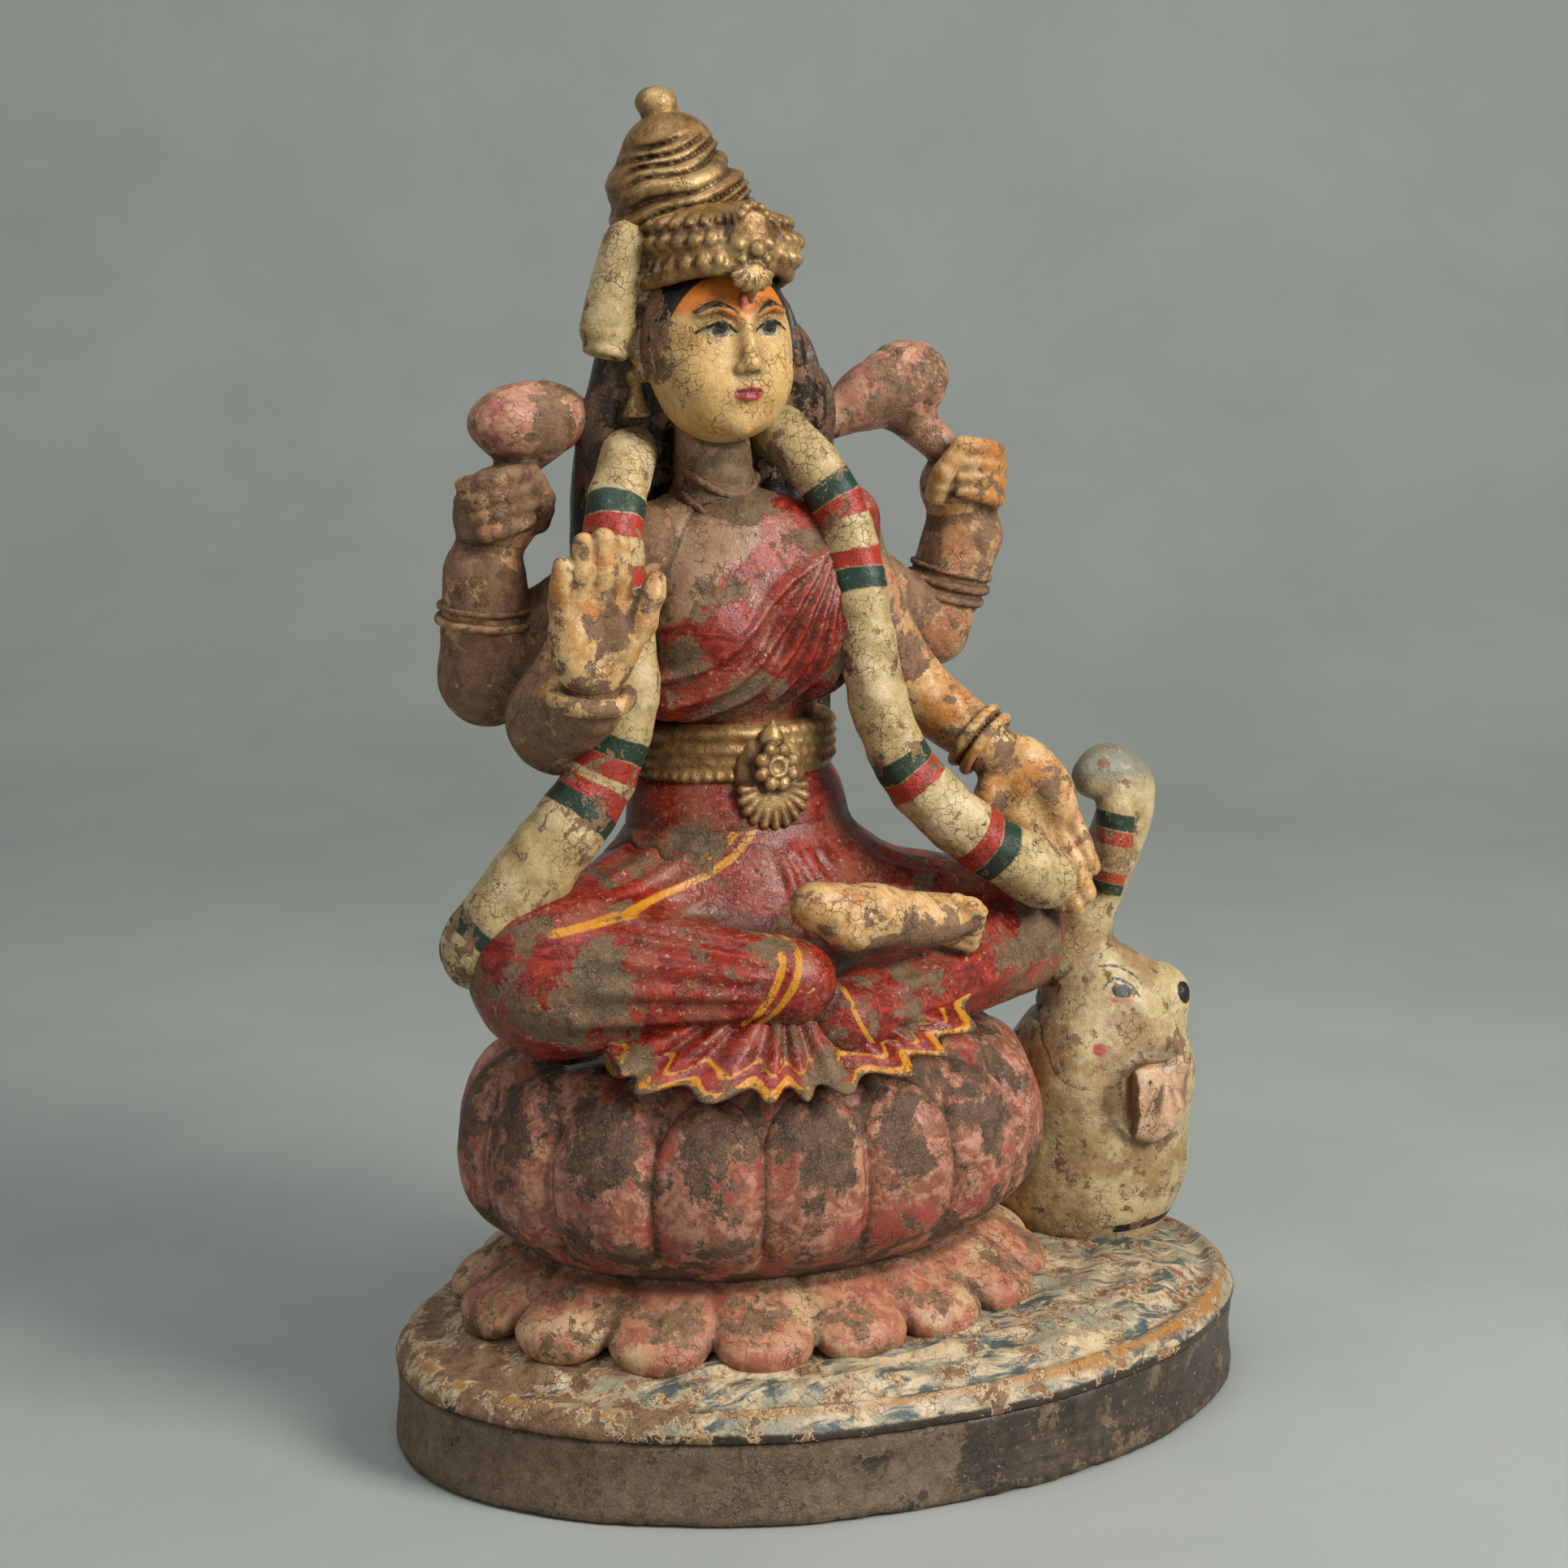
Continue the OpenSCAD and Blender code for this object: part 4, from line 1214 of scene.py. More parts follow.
@shape
def left_back_upper_arm(p):
    return limb(p, SHOULDER_LB, ELBOW_LB, 12.5, 12.2)


@shape
def left_back_forearm(p):
    return limb(p, ELBOW_LB, WRIST_LB, 12.8, 14.0)


def fist(p, centre, side):
    """A fist round an upright stem: four curled fingers in front, the thumb across the top."""
    if p.misses(centre, 30):
        return FAR
    d = egg(p, centre + vec(0, 1, -3), (14.4, 12.6, 15))
    d = blend(d, egg(p, centre + vec(side * 1.5, -5.5, 5), (11.5, 8.0, 8.5)), 4)
    for n in range(4):
        z = 10.0 - n * 5.3
        wide = 11.8 - 0.7 * abs(n - 1)
        route = [centre + vec(side * (wide + 0.8), -1.0, z - 2.6),
                 centre + vec(side * wide * 0.75, -10.0, z - 1.2),
                 centre + vec(side * 1.2, -13.0, z + 0.8), centre + vec(-side * wide * 0.62, -10.6, z + 2.2)]
        d = blend(d, tube(p, smoothed(route, 2), spread([3.0, 3.4, 3.4, 2.8], 7), 0.8), 1.1)
    thumb = [centre + vec(-side * 12.5, -4.0, -5), centre + vec(-side * 12.5, -9.0, 3),
             centre + vec(-side * 7.0, -11.5, 12.0)]
    d = blend(d, tube(p, smoothed(thumb, 2), spread([4.4, 4.0, 3.2], 5), 1), 1.6)
    return d


@shape
def right_fist(p):
    return fist(p, FIST_RB, -1)


@shape
def left_fist(p):
    return fist(p, FIST_LB, 1)


@shape
def right_lotus_bud(p):
    if p.misses(BUD_R, 34):
        return FAR
    turn = turned(0, -5, 0)
    d = egg(p, BUD_R + vec(0, 0, 1.0), (20.8, 15.4, 12.2), turn)
    d = blend(d, egg(p, BUD_R + vec(0, 0, -4), (15.5, 12.6, 9.5), turn), 4)
    x, _, z = local(p, BUD_R, turn)
    d = d + 0.8 * bump(x + 6 - z * 0.30, 1.0) * bump(z + 2, 11)
    d = d + 0.8 * bump(x - 7 + z * 0.25, 1.0) * bump(z, 11)
    d = d + 0.7 * bump(z - 7.5 - 0.004 * x * x, 0.9) * smooth_step((14 - np.abs(x)) / 6)
    stem = limb(p, FIST_RB + vec(3, -1, 8), BUD_R + vec(0, 0, -9), 6.0, 7.2)
    return blend(d, stem, 4)


@shape
def left_lotus_bud(p):
    if p.misses(BUD_L, 36):
        return FAR
    turn = turned(0, -22, 0)
    d = egg(p, BUD_L + vec(5.0, 0, 2.5), (16.0, 14.6, 14.2), turn)
    d = blend(d, egg(p, BUD_L + vec(-7.0, 0, -1.5), (14.0, 11.5, 10.5), turn), 6)
    d = blend(d, limb(p, BUD_L + vec(-8, 1, -3), BUD_L + vec(-23, 2, -9), 9.5, 7.5), 5)
    x, _, z = local(p, BUD_L, turn)
    ribs = np.abs(np.sin((x + 1 - z * 0.18) * F(math.pi / 6.2)))
    d = d + 0.9 * (1 - ribs) ** 2 * smooth_step((x + 8) / 8)
    stem = limb(p, FIST_LB + vec(-7, -1, 9), BUD_L + vec(5, 0, -8), 6.2, 8.0)
    return blend(d, stem, 4)


@shape
def front_bangles(p):
    right = hoop(p, WRIST_RF + vec(0, -2, 3), PALM_RF - WRIST_RF, 11.8, 3.2)
    left_axis = WRIST_LF - ELBOW_LF
    left = join(hoop(p, mix(ELBOW_LF, WRIST_LF, 0.86), left_axis, 11.0, 1.9),
                hoop(p, mix(ELBOW_LF, WRIST_LF, 0.99), left_axis, 11.0, 1.9), k=1.2)
    return join(right, left)


@shape
def back_bangles(p):
    right = join(hoop(p, mix(ELBOW_RB, WRIST_RB, 0.55), WRIST_RB - ELBOW_RB + vec(3, 0, 0), 15.2, 1.6),
                 hoop(p, mix(ELBOW_RB, WRIST_RB, 0.68), WRIST_RB - ELBOW_RB + vec(3, 0, 0), 15.0, 1.1), k=1.0)
    axis = WRIST_LB - ELBOW_LB + vec(-4, 0, 0)
    left = join(hoop(p, mix(ELBOW_LB, WRIST_LB, 0.36), axis, 13.6, 1.5),
                hoop(p, mix(ELBOW_LB, WRIST_LB, 0.50), axis, 13.8, 1.7),
                hoop(p, mix(ELBOW_LB, WRIST_LB, 0.63), axis, 13.8, 1.3), k=1.0)
    return join(right, left)


# ---- garland ----
def swell(path, start, end):
    return [mix(start, end, (i / (len(path) - 1)) ** 2) for i in range(len(path))]


RUN_R, RUN_L = smoothed(GARLAND_R, 3), smoothed(GARLAND_L, 3)[:-2]
RADII_R, RADII_L = swell(RUN_R, 8.3, 13.6), swell(RUN_L, 8.3, 10.8)


@shape
def garland_right(p):
    d = tube(p, RUN_R, RADII_R, 3)
    return d if d is FAR else d - 0.5 * wander(p.x, p.y, p.z, 9, 61)


@shape
def garland_left(p):
    d = tube(p, RUN_L, RADII_L, 3)
    return d if d is FAR else d - 0.5 * wander(p.x, p.y, p.z, 9, 62)


# ---- elephant ----
TRUNK_RUN = smoothed(TRUNK, 3)
TRUNK_RADII = spread([11.5, 9.6, 9.0, 8.8, 8.6, 8.0, 7.0], len(TRUNK_RUN))
TRUNK_TIP = smoothed(TRUNK_CURL, 3)


@shape
def elephant_body(p):
    d = blend(egg(p, ELEPHANT + vec(3, -2, -9), (38, 39, 40)),
              egg(p, ELEPHANT + vec(0, 26, -8), (35.5, 33.5, 34)), 20)
    d = blend(d, egg(p, ELEPHANT + vec(12, -12, 4), (25, 25, 31)), 14)
    d = blend(d, egg(p, ELEPHANT_HEAD + vec(-10, 8, -28), (30, 28, 32)), 14)
    if d is FAR:
        return d
    return clip(d, 38 - p.z, 0)


@shape
def elephant_head(p):
    """A smooth cheek with a short snout to her left, falling straight into the neck."""
    if p.misses(ELEPHANT_HEAD, 50):
        return FAR
    c = ELEPHANT_HEAD
    cheek = egg(p, c, (24, 20.5, 22), turned(0, 14, 0))
    snout = egg(p, c + vec(17.5, -4, 4.5), (10.5, 11, 11.5))
    brow = egg(p, c + vec(-6, 2, 13), (17, 13, 14), turned(0, 24, 0))
    neck = egg(p, c + vec(9, -3, -20), (19, 20, 18))
    jowl = egg(p, c + vec(-16, -6, -14), (15, 14, 18))
    d = join(cheek, snout, brow, neck, jowl, k=8)
    for side in (-1, 1):
        eye = c + vec(-6.5 + 1.2 * side, -3 + side * 18, 13)
        d = carve(d, egg(p, eye, (6, 2.6, 4.6)), 3)
    d = blend(d, ball(p, c + vec(20.5, -12, 7.5), 3.4), 1.2)
    mouth = smoothed([c + vec(26, -8, -8), c + vec(18, -16, -10), c + vec(6, -21, -12)])
    return crease(d, lines(p, [mouth]), 1.4, 0.8)


@shape
def elephant_trunk(p):
    outer = tube(p, TRUNK_RUN, TRUNK_RADII, 3)
    tip = tube(p, TRUNK_TIP, spread([6.6, 6.0, 5.4, 4.6], len(TRUNK_TIP)), 2)
    web = FAR
    for a, b in zip(TRUNK_RUN[4:13:2], reversed(TRUNK_TIP)):
        web = blend(web, limb(p, a, b, 4.6, 4.2), 3)
    return blend(blend(outer, tip, 2.0), web, 2.5)


def ear(p, centre, lean, side):
    """A cupped shell with a pointed top and soft upright flutes."""
    turn = turned(0, 8, lean)
    d = egg(p, centre, (13.0, 4.4, 14.5), turn)
    d = blend(d, egg(p, centre + turn @ vec(6.5, 0, 9), (5.5, 3.4, 10), turn @ turned(0, 20, 0)), 4)
    if d is FAR:
        return d
    x, y, z = local(p, centre + turn @ vec(3, 0, 15), turn)
    angle = np.arctan2(x, -z)
    dish = bump(x + 2, 8.5) * bump(z + 15, 12)
    flutes = np.cos(angle * 15) * smooth_step((-z - 4) / 6)
    cup = 2.6 * bump(x - 5, 3.4) * bump(z + 5, 7)
    return d + (1.6 * dish - 1.5 * flutes * dish + cup) * (y * F(side) > 0)


@shape
def elephant_ears(p):
    return join(ear(p, EAR_NEAR, -12, -1), ear(p, at("elephant_ears", 2.7, 20.5, 8), 30, 1))


# ---------------------------------------------------------------------------
# How the pieces meet: within a group each piece fillets into its neighbours, and ends
# halfway to them; later pieces run on a little underneath, so that no seam shows
# ---------------------------------------------------------------------------
GROUPS = [
    (4.5,
     ["head", "blessing_hand", "giving_hand", "right_fist", "left_fist", "right_lotus_bud", "left_lotus_bud",
           "right_front_forearm", "left_front_forearm", "right_back_forearm", "left_back_forearm",
           "right_front_upper_arm", "left_front_upper_arm", "right_back_upper_arm", "left_back_upper_arm",
           "neck", "sari_drape", "torso", "right_leg", "left_leg", "lap"]),
    (7.0, ["elephant_ears", "elephant_trunk", "elephant_head", "elephant_body"]),
    (3.0, ["upper_petals", "lower_petals", "rim_petals", "lotus_seat"]),
]
FILLETS = {
    frozenset(("torso", "sari_drape")): 7.0, frozenset(("neck", "torso")): 12.0,
    frozenset(("neck", "sari_drape")): 5.0,
    frozenset(("head", "neck")): 3.0, frozenset(("lap", "right_leg")): 12.0,
    frozenset(("lap", "left_leg")): 10.0,
    frozenset(("torso", "right_front_upper_arm")): 14.0,
    frozenset(("torso", "left_front_upper_arm")): 10.0, frozenset(("left_leg", "right_leg")): 2.0,
    frozenset(("elephant_ears", "elephant_head")): 3.0, frozenset(("elephant_ears", "elephant_body")): 3.0,
    frozenset(("elephant_head", "elephant_body")): 18.0, frozenset(("torso", "lap")): 16.0,
    frozenset(("right_lotus_bud", "right_fist")): 1.5, frozenset(("left_lotus_bud", "left_fist")): 1.5,
    frozenset(("blessing_hand", "right_front_upper_arm")): 1.0, frozenset(("giving_hand", "left_leg")): 1.0,
    frozenset(("blessing_hand", "right_front_forearm")): 3.0,
    frozenset(("giving_hand", "left_front_forearm")): 4.0,
}
UNDERLAP = 1.4          # how far a piece runs on under its neighbour
SINK = 0.14             # and how far below its surface


def neighbours():
    near = {}
    for fillet, names in GROUPS:
        for i, a in enumerate(names):
            for b in names[i + 1:]:
                k = FILLETS.get(frozenset((a, b)), fillet)
                near.setdefault(a, []).append((b, k, 0.0))
                near.setdefault(b, []).append((a, k, UNDERLAP))
    return near


NEAR = neighbours()
BOXES = {name: box_mm(name) for name in SHAPES}


def far_box(p, node, reach):
    """Whether a cloud lies wholly further than reach from a node's box."""
    low, high = BOXES[node]
    gap = np.maximum(np.maximum(low - p.high, p.low - high), 0)
    return gap @ gap > reach * reach


def joined(name):
    """The field of a piece as it stands on the finished figure."""
    own = SHAPES[name]

    def field(p):
        d = own(p)
        if d is FAR:
            return FAR
        out, walls, sink = d, [], 0
        for other, k, under in NEAR.get(name, ()):
            if far_box(p, other, k * 0.8 + 5):
                continue
            f = SHAPES[other](p)
            if f is FAR:
                continue
            out = blend(out, f, k)
            gap = (d - f) * 0.5
            walls.append(gap - F(under))
            if under:
                sink = np.maximum(sink, F(SINK) * smooth_step(gap / F(under) + 0.3))
        out = out + sink
        for wall in walls:
            out = np.maximum(out, wall)
        return out

    return field


# ---------------------------------------------------------------------------
# Meshes
# ---------------------------------------------------------------------------
STEP = {
    "plinth_band": 1.4, "water_deck": 1.1, "lotus_seat": 2.2, "lower_petals": 1.0, "upper_petals": 0.95,
    "rim_petals": 1.0, "lap": 0.9, "right_leg": 0.8, "left_leg": 0.8, "right_foot": 0.6, "sari_hem": 0.7,
    "torso": 0.9, "hair_back": 0.95, "elephant_body": 1.1, "elephant_head": 0.8, "elephant_trunk": 0.8,
    "elephant_ears": 0.6, "head": 0.4, "tiara": 0.5, "crown": 0.55, "belt_buckle": 0.42, "blessing_hand": 0.5,
    "giving_hand": 0.5,
}
DEFAULT_STEP = 0.7
COARSE = 1.5
MARGIN = 8.0
PROBES = (1.6, 5.0, -1.2)       # how far off a surface it is felt for hollows and edges


def lumps(points):
    """How far the hand-made surface wanders off the ideal one."""
    x, y, z = points.T
    return 0.34 * noise(x, y, z, 13, 1) + 0.16 * noise(x, y, z, 4.5, 2) + 0.05 * noise(x, y, z, 1.7, 7)


QUIET = {"head": 0.25, "belt_buckle": 0.4, "tiara": 0.6, "earrings": 0.4, "crown_finial": 0.6}


def surface(name):
    """Points, quads and attributes of a piece."""
    field = joined(name)
    low, high = box_mm(name)
    step = STEP.get(name, DEFAULT_STEP) * COARSE
    low, high = low - MARGIN, high + MARGIN
    values = grid_values(field, low, high, step)
    for axis in range(3):
        lead = np.moveaxis(values, axis, 0)
        lead[0] = lead[-1] = np.maximum(np.maximum(lead[0], lead[-1]), 0.1)
    points, quads = surface_net(values, low, step)
    points, slope = settled(field, points, step)
    points = points.astype(np.float32)

    def depth(q):
        n = q[:, 3:]
        q = q[:, :3]
        out = [sampled(field, *(q + n * F(h)).T) - F(h) for h in PROBES]
        return np.stack(out, axis=1)

    around = in_clusters(np.concatenate([points, slope], axis=1), depth, 16)
    marks = {
        "hollow": np.clip(-around[:, 0] / 1.2, 0, 1) * 0.6 + np.clip(-around[:, 1] / 5.0, 0, 1) * 0.6,
        "edge": np.clip(around[:, 2] / 0.6, 0, 1),
    }
    points = points + slope * (lumps(points) * QUIET.get(name, 1.0))[:, None]
    points[:, 2] = np.maximum(points[:, 2], 0.05)
    return points, quads, marks


def mesh_object(name, points, quads, marks, material):
    mesh = bpy.data.meshes.new(name)
    mesh.vertices.add(len(points))
    mesh.vertices.foreach_set("co", (points * MM).astype(np.float32).ravel())
    mesh.loops.add(len(quads) * 4)
    mesh.loops.foreach_set("vertex_index", quads.astype(np.int32).ravel())
    mesh.polygons.add(len(quads))
    mesh.polygons.foreach_set("loop_start", np.arange(0, len(quads) * 4, 4, dtype=np.int32))
    mesh.update(calc_edges=True)
    mesh.polygons.foreach_set("use_smooth", np.ones(len(quads), dtype=bool))
    for key, values in marks.items():
        layer = mesh.attributes.new(key, "FLOAT", "POINT")
        layer.data.foreach_set("value", np.asarray(values, dtype=np.float32))
    mesh.materials.append(material)
    thing = bpy.data.objects.new(name, mesh)
    bpy.context.collection.objects.link(thing)
    return thing


# ---------------------------------------------------------------------------
# Materials: brushed paint over a cream ground over bare clay, flaked and grimy, with painted shade in hollows
# and a painted highlight on edges
# ---------------------------------------------------------------------------
def rgb(r, g, b):
    """A linear colour from 0-255 screen values."""
    def linear(v):
        v /= 255
        return v / 12.92 if v <= 0.04045 else ((v + 0.055) / 1.055) ** 2.4
    return (linear(r), linear(g), linear(b), 1)


CLAY = rgb(146, 116, 92)
CLAY_DARK = rgb(104, 79, 61)
CLAY_DUST = rgb(178, 154, 128)
GROUND = rgb(214, 190, 156)
# dark brown: grime in cracks and grain, and the painted shade laid into hollows
GRIME_AND_SHADE = rgb(56, 37, 25)
YELLOW = rgb(214, 150, 30)
GREEN = rgb(20, 62, 50)
BAND_RED = rgb(176, 52, 38)
INK = rgb(20, 20, 24)
STAIN = rgb(150, 118, 84)       # old dirt, laid over the colours like a glaze
SOOT = rgb(236, 224, 208)       # the whole figure has darkened a little


class Graph:
    """Shader nodes, made with short calls."""

    def __init__(self, name):
        self.material = bpy.data.materials.new(name)
        self.material.use_nodes = True
        self.nodes = self.material.node_tree.nodes
        self.links = self.material.node_tree.links
        self.nodes.clear()
        place = self.nodes.new("ShaderNodeTexCoord")
        scale = self.nodes.new("ShaderNodeVectorMath")
        scale.operation = "SCALE"
        scale.inputs["Scale"].default_value = 1 / MM
        self.links.new(place.outputs["Object"], scale.inputs[0])
        self.place = scale.outputs[0]

    def set(self, socket, value):
        if isinstance(value, bpy.types.NodeSocket):
            self.links.new(value, socket)
        else:
            socket.default_value = value

    def math(self, kind, a, b=0.0, c=0.0, clamp=False):
        node = self.nodes.new("ShaderNodeMath")
        node.operation = kind
        node.use_clamp = clamp
        for socket, value in zip(node.inputs, (a, b, c)):
            self.set(socket, value)
        return node.outputs[0]

    def add(self, *values):
        out = values[0]
        for v in values[1:]:
            out = self.math("ADD", out, v)
        return out

    def times(self, a, b):
        return self.math("MULTIPLY", a, b)

    def ramp(self, value, start, end, low=0.0, high=1.0):
        node = self.nodes.new("ShaderNodeMapRange")
        node.interpolation_type = "SMOOTHSTEP"
        for socket, v in zip(node.inputs[:5], (value, start, end, low, high)):
            self.set(socket, v)
        return node.outputs[0]

    def noise(self, size, detail=6.0, rough=0.6, twist=0.0, shift=0.0, stretch=None):
        node = self.nodes.new("ShaderNodeTexNoise")
        node.inputs["Scale"].default_value = 1 / size
        node.inputs["Detail"].default_value = detail
        node.inputs["Roughness"].default_value = rough
        node.inputs["Distortion"].default_value = twist
        mapping = self.nodes.new("ShaderNodeMapping")
        mapping.inputs["Location"].default_value = (shift, shift * 1.7, shift * 0.6)
        if stretch:
            mapping.inputs["Scale"].default_value = stretch
        self.links.new(self.place, mapping.inputs["Vector"])
        self.links.new(mapping.outputs[0], node.inputs["Vector"])
        return node.outputs["Fac"]

    def cracks(self, size):
        node = self.nodes.new("ShaderNodeTexVoronoi")
        node.feature = "DISTANCE_TO_EDGE"
        node.inputs["Scale"].default_value = 1 / size
        warp = self.nodes.new("ShaderNodeTexNoise")
        warp.inputs["Scale"].default_value = 1 / size
        self.links.new(self.place, warp.inputs["Vector"])
        bend = self.nodes.new("ShaderNodeVectorMath")
        bend.operation = "MULTIPLY_ADD"
        bend.inputs[1].default_value = (size * 1.2,) * 3
        self.links.new(warp.outputs["Color"], bend.inputs[0])
        self.links.new(self.place, bend.inputs[2])
        self.links.new(bend.outputs[0], node.inputs["Vector"])
        return node.outputs["Distance"]

    def mix(self, factor, a, b, kind="MIX"):
        node = self.nodes.new("ShaderNodeMix")
        node.data_type = "RGBA"
        node.blend_type = kind
        self.set(node.inputs[0], factor)
        self.set(node.inputs[6], a)
        self.set(node.inputs[7], b)
        return node.outputs[2]

    def mark(self, name):
        node = self.nodes.new("ShaderNodeAttribute")
        node.attribute_name = name
        return node.outputs["Fac"]

    def finish(self, colour, rough, height, metal=0.0, coat=0.0, bump_mm=1.0):
        shader = self.nodes.new("ShaderNodeBsdfPrincipled")
        out = self.nodes.new("ShaderNodeOutputMaterial")
        bump_node = self.nodes.new("ShaderNodeBump")
        bump_node.inputs["Distance"].default_value = MM * bump_mm
        bump_node.inputs["Strength"].default_value = 1.0
        self.links.new(height, bump_node.inputs["Height"])
        self.links.new(bump_node.outputs[0], shader.inputs["Normal"])
        self.set(shader.inputs["Base Color"], colour)
        self.set(shader.inputs["Roughness"], rough)
        self.set(shader.inputs["Metallic"], metal)
        shader.inputs["Specular IOR Level"].default_value = 0.42
        shader.inputs["Coat Weight"].default_value = coat
        shader.inputs["Coat Roughness"].default_value = 0.25
        self.links.new(shader.outputs[0], out.inputs["Surface"])
        return self.material


def painted(name, paint, wear=0.5, flake=14.0, marks=(), gloss=0.42, clay=(CLAY, CLAY_DARK), ground=GROUND,
            rim=0.014, soft=0.006, grime_and_shade=0.8, craze=0.5, speckle=0.5, metal=0.0, dusty=0.3, streak=None,
            patchy=0.15):
    """Flaking paint. paint holds two or three colours; wear runs from 0, sound, to 1, all gone.

    marks lists (attribute, colour, softness in mm): shapes painted on top.
    """
    g = Graph(name)
    hollow, edge, bare = g.mark("hollow"), g.mark("edge"), g.mark("bare")
    broad = g.noise(22, 3, 0.5, 0.3, 11)
    fine = g.noise(2.2, 5, 0.65, 0.0, 5)
    grain = g.noise(0.8, 3, 0.7, 0.0, 9)
    brushed = g.noise(6, 6, 0.65, 0.8, 3, streak)
    colour = g.mix(g.ramp(brushed, 0.51 - patchy, 0.51 + patchy), paint[0], paint[1])
    if len(paint) > 2:
        colour = g.mix(g.ramp(g.add(g.times(broad, 0.75), g.times(fine, 0.25)), 0.55 - patchy * 0.5,
                              0.55 + patchy * 0.5), colour, paint[2])
    for key, tint, blur in marks:
        place = g.add(g.mark(key), g.times(g.math("SUBTRACT", fine, 0.5), blur * 2.4))
        colour = g.mix(g.ramp(place, blur, -blur), colour, tint)
    # convex edges lightened towards the ground colour: rubbed wear, and a painted highlight along ridges and
    # fold crests
    rub_and_highlight = g.ramp(g.add(edge, g.times(g.math("SUBTRACT", fine, 0.5), 0.8)), 0.3, 1.0)
    colour = g.mix(g.times(rub_and_highlight, 0.5), colour, g.mix(0.5, colour, ground))
    colour = g.mix(g.times(g.ramp(grain, 0.35, 0.7), 0.35), colour, g.mix(0.55, colour, GRIME_AND_SHADE))

    chips = g.noise(flake, 12, 0.68, 0.25, 2)
    lost = g.add(chips, g.times(bare, 0.5), g.times(edge, 0.10), g.times(hollow, -0.06))
    line = 0.78 - 0.56 * wear
    lost_paint = g.ramp(lost, line - soft, line + soft)
    lost_ground = g.ramp(g.add(lost, g.times(g.math("SUBTRACT", fine, 0.5), 0.05)), line + rim - soft,
                         line + rim + soft)
    spots = g.ramp(g.noise(2.0, 6, 0.8, 0.4, 15), 0.67 - 0.10 * speckle, 0.68 - 0.10 * speckle)
    spots = g.times(spots, g.ramp(broad, 0.36, 0.52))
    cracks = g.times(g.ramp(g.cracks(3.4), 0.045, 0.012),
                     g.ramp(g.noise(13, 3, 0.6, 0, 21), 0.62 - 0.25 * craze, 0.72 - 0.2 * craze))

    ground_tint = g.mix(g.ramp(fine, 0.35, 0.7), ground, g.mix(0.35, ground, CLAY))
    clay_tint = g.mix(g.ramp(g.noise(5, 6, 0.7, 0.3, 31), 0.36, 0.68), clay[0], clay[1])
    clay_tint = g.mix(g.times(g.ramp(grain, 0.52, 0.7), 0.5), clay_tint, CLAY_DUST)
    colour = g.mix(g.times(spots, 0.75), colour, ground_tint)
    colour = g.mix(lost_paint, colour, ground_tint)
    colour = g.mix(lost_ground, colour, clay_tint)
    colour = g.mix(g.times(cracks, 0.7), colour, GRIME_AND_SHADE)
    # darker in hollows and creases: painted shade there, together with grime
    hollow_shade_and_grime = g.times(g.ramp(g.add(hollow, g.times(g.math("SUBTRACT", brushed, 0.5), 0.5)), 0.08, 0.62), grime_and_shade)
    colour = g.mix(hollow_shade_and_grime, colour, g.mix(0.72, colour, GRIME_AND_SHADE))
    haze = g.times(g.ramp(g.noise(9, 7, 0.7, 0.4, 41), 0.46, 0.72), dusty)
    colour = g.mix(haze, colour, g.mix(0.45, colour, CLAY_DUST))
    stain = g.times(g.ramp(g.noise(6.5, 9, 0.75, 0.5, 51), 0.50, 0.66), 0.5 * grime_and_shade)
    colour = g.mix(stain, colour, STAIN, "MULTIPLY")
    colour = g.mix(1.0, colour, SOOT, "MULTIPLY")

    rough = g.ramp(brushed, 0.3, 0.7, gloss - 0.08, gloss + 0.12)
    rough = g.add(rough, g.times(lost_paint, 0.16), g.times(lost_ground, 0.14), g.times(haze, 0.25))
    height = g.add(g.times(lost_paint, -0.16), g.times(lost_ground, -0.20), g.times(grain, 0.16),
                   g.times(fine, 0.30),
                   g.times(g.times(grain, lost_ground), 0.22), g.times(cracks, -0.16), g.times(brushed, 0.25))
    metal_socket = g.times(g.math("SUBTRACT", 1.0, lost_paint), metal) if metal else 0.0
    return g.finish(colour, rough, height, metal_socket)


# ---------------------------------------------------------------------------
# Painted marks and worn places, as numbers on the vertices
# ---------------------------------------------------------------------------
def cloud_of(points):
    return Cloud(*(points[:, n].astype(np.float32) for n in range(3)))


def run_along(points, path):
    """How far along a path, in millimetres, each point lies."""
    best = np.full(len(points), 1e9)
    run = np.zeros(len(points))
    start = 0.0
    for a, b in zip(path, path[1:]):
        d = b - a
        t = np.clip(((points - a) @ d) / (d @ d), 0, 1)
        away = np.linalg.norm(points - a - t[:, None] * d, axis=1)
        closer = away < best
        length = np.linalg.norm(d)
        run = np.where(closer, start + t * length, run)
        best = np.minimum(best, away)
        start += length
    return run


def stroke(points, paths, width, flat=None):
    """Signed distance to painted strokes of a given half width."""
    best = np.full(len(points), 99.0)
    keep = [n for n in range(3) if n != flat]
    q = points[:, keep]
    for path in paths:
        for a, b in zip(path, path[1:]):
            a, b = np.asarray(a)[keep], np.asarray(b)[keep]
            d = b - a
            t = np.clip(((q - a) @ d) / (d @ d + 1e-9), 0, 1)
            best = np.minimum(best, np.linalg.norm(q - a - t[:, None] * d, axis=1))
    return best - width


def disc(points, centre, radius):
    return np.linalg.norm(points - centre, axis=1) - radius


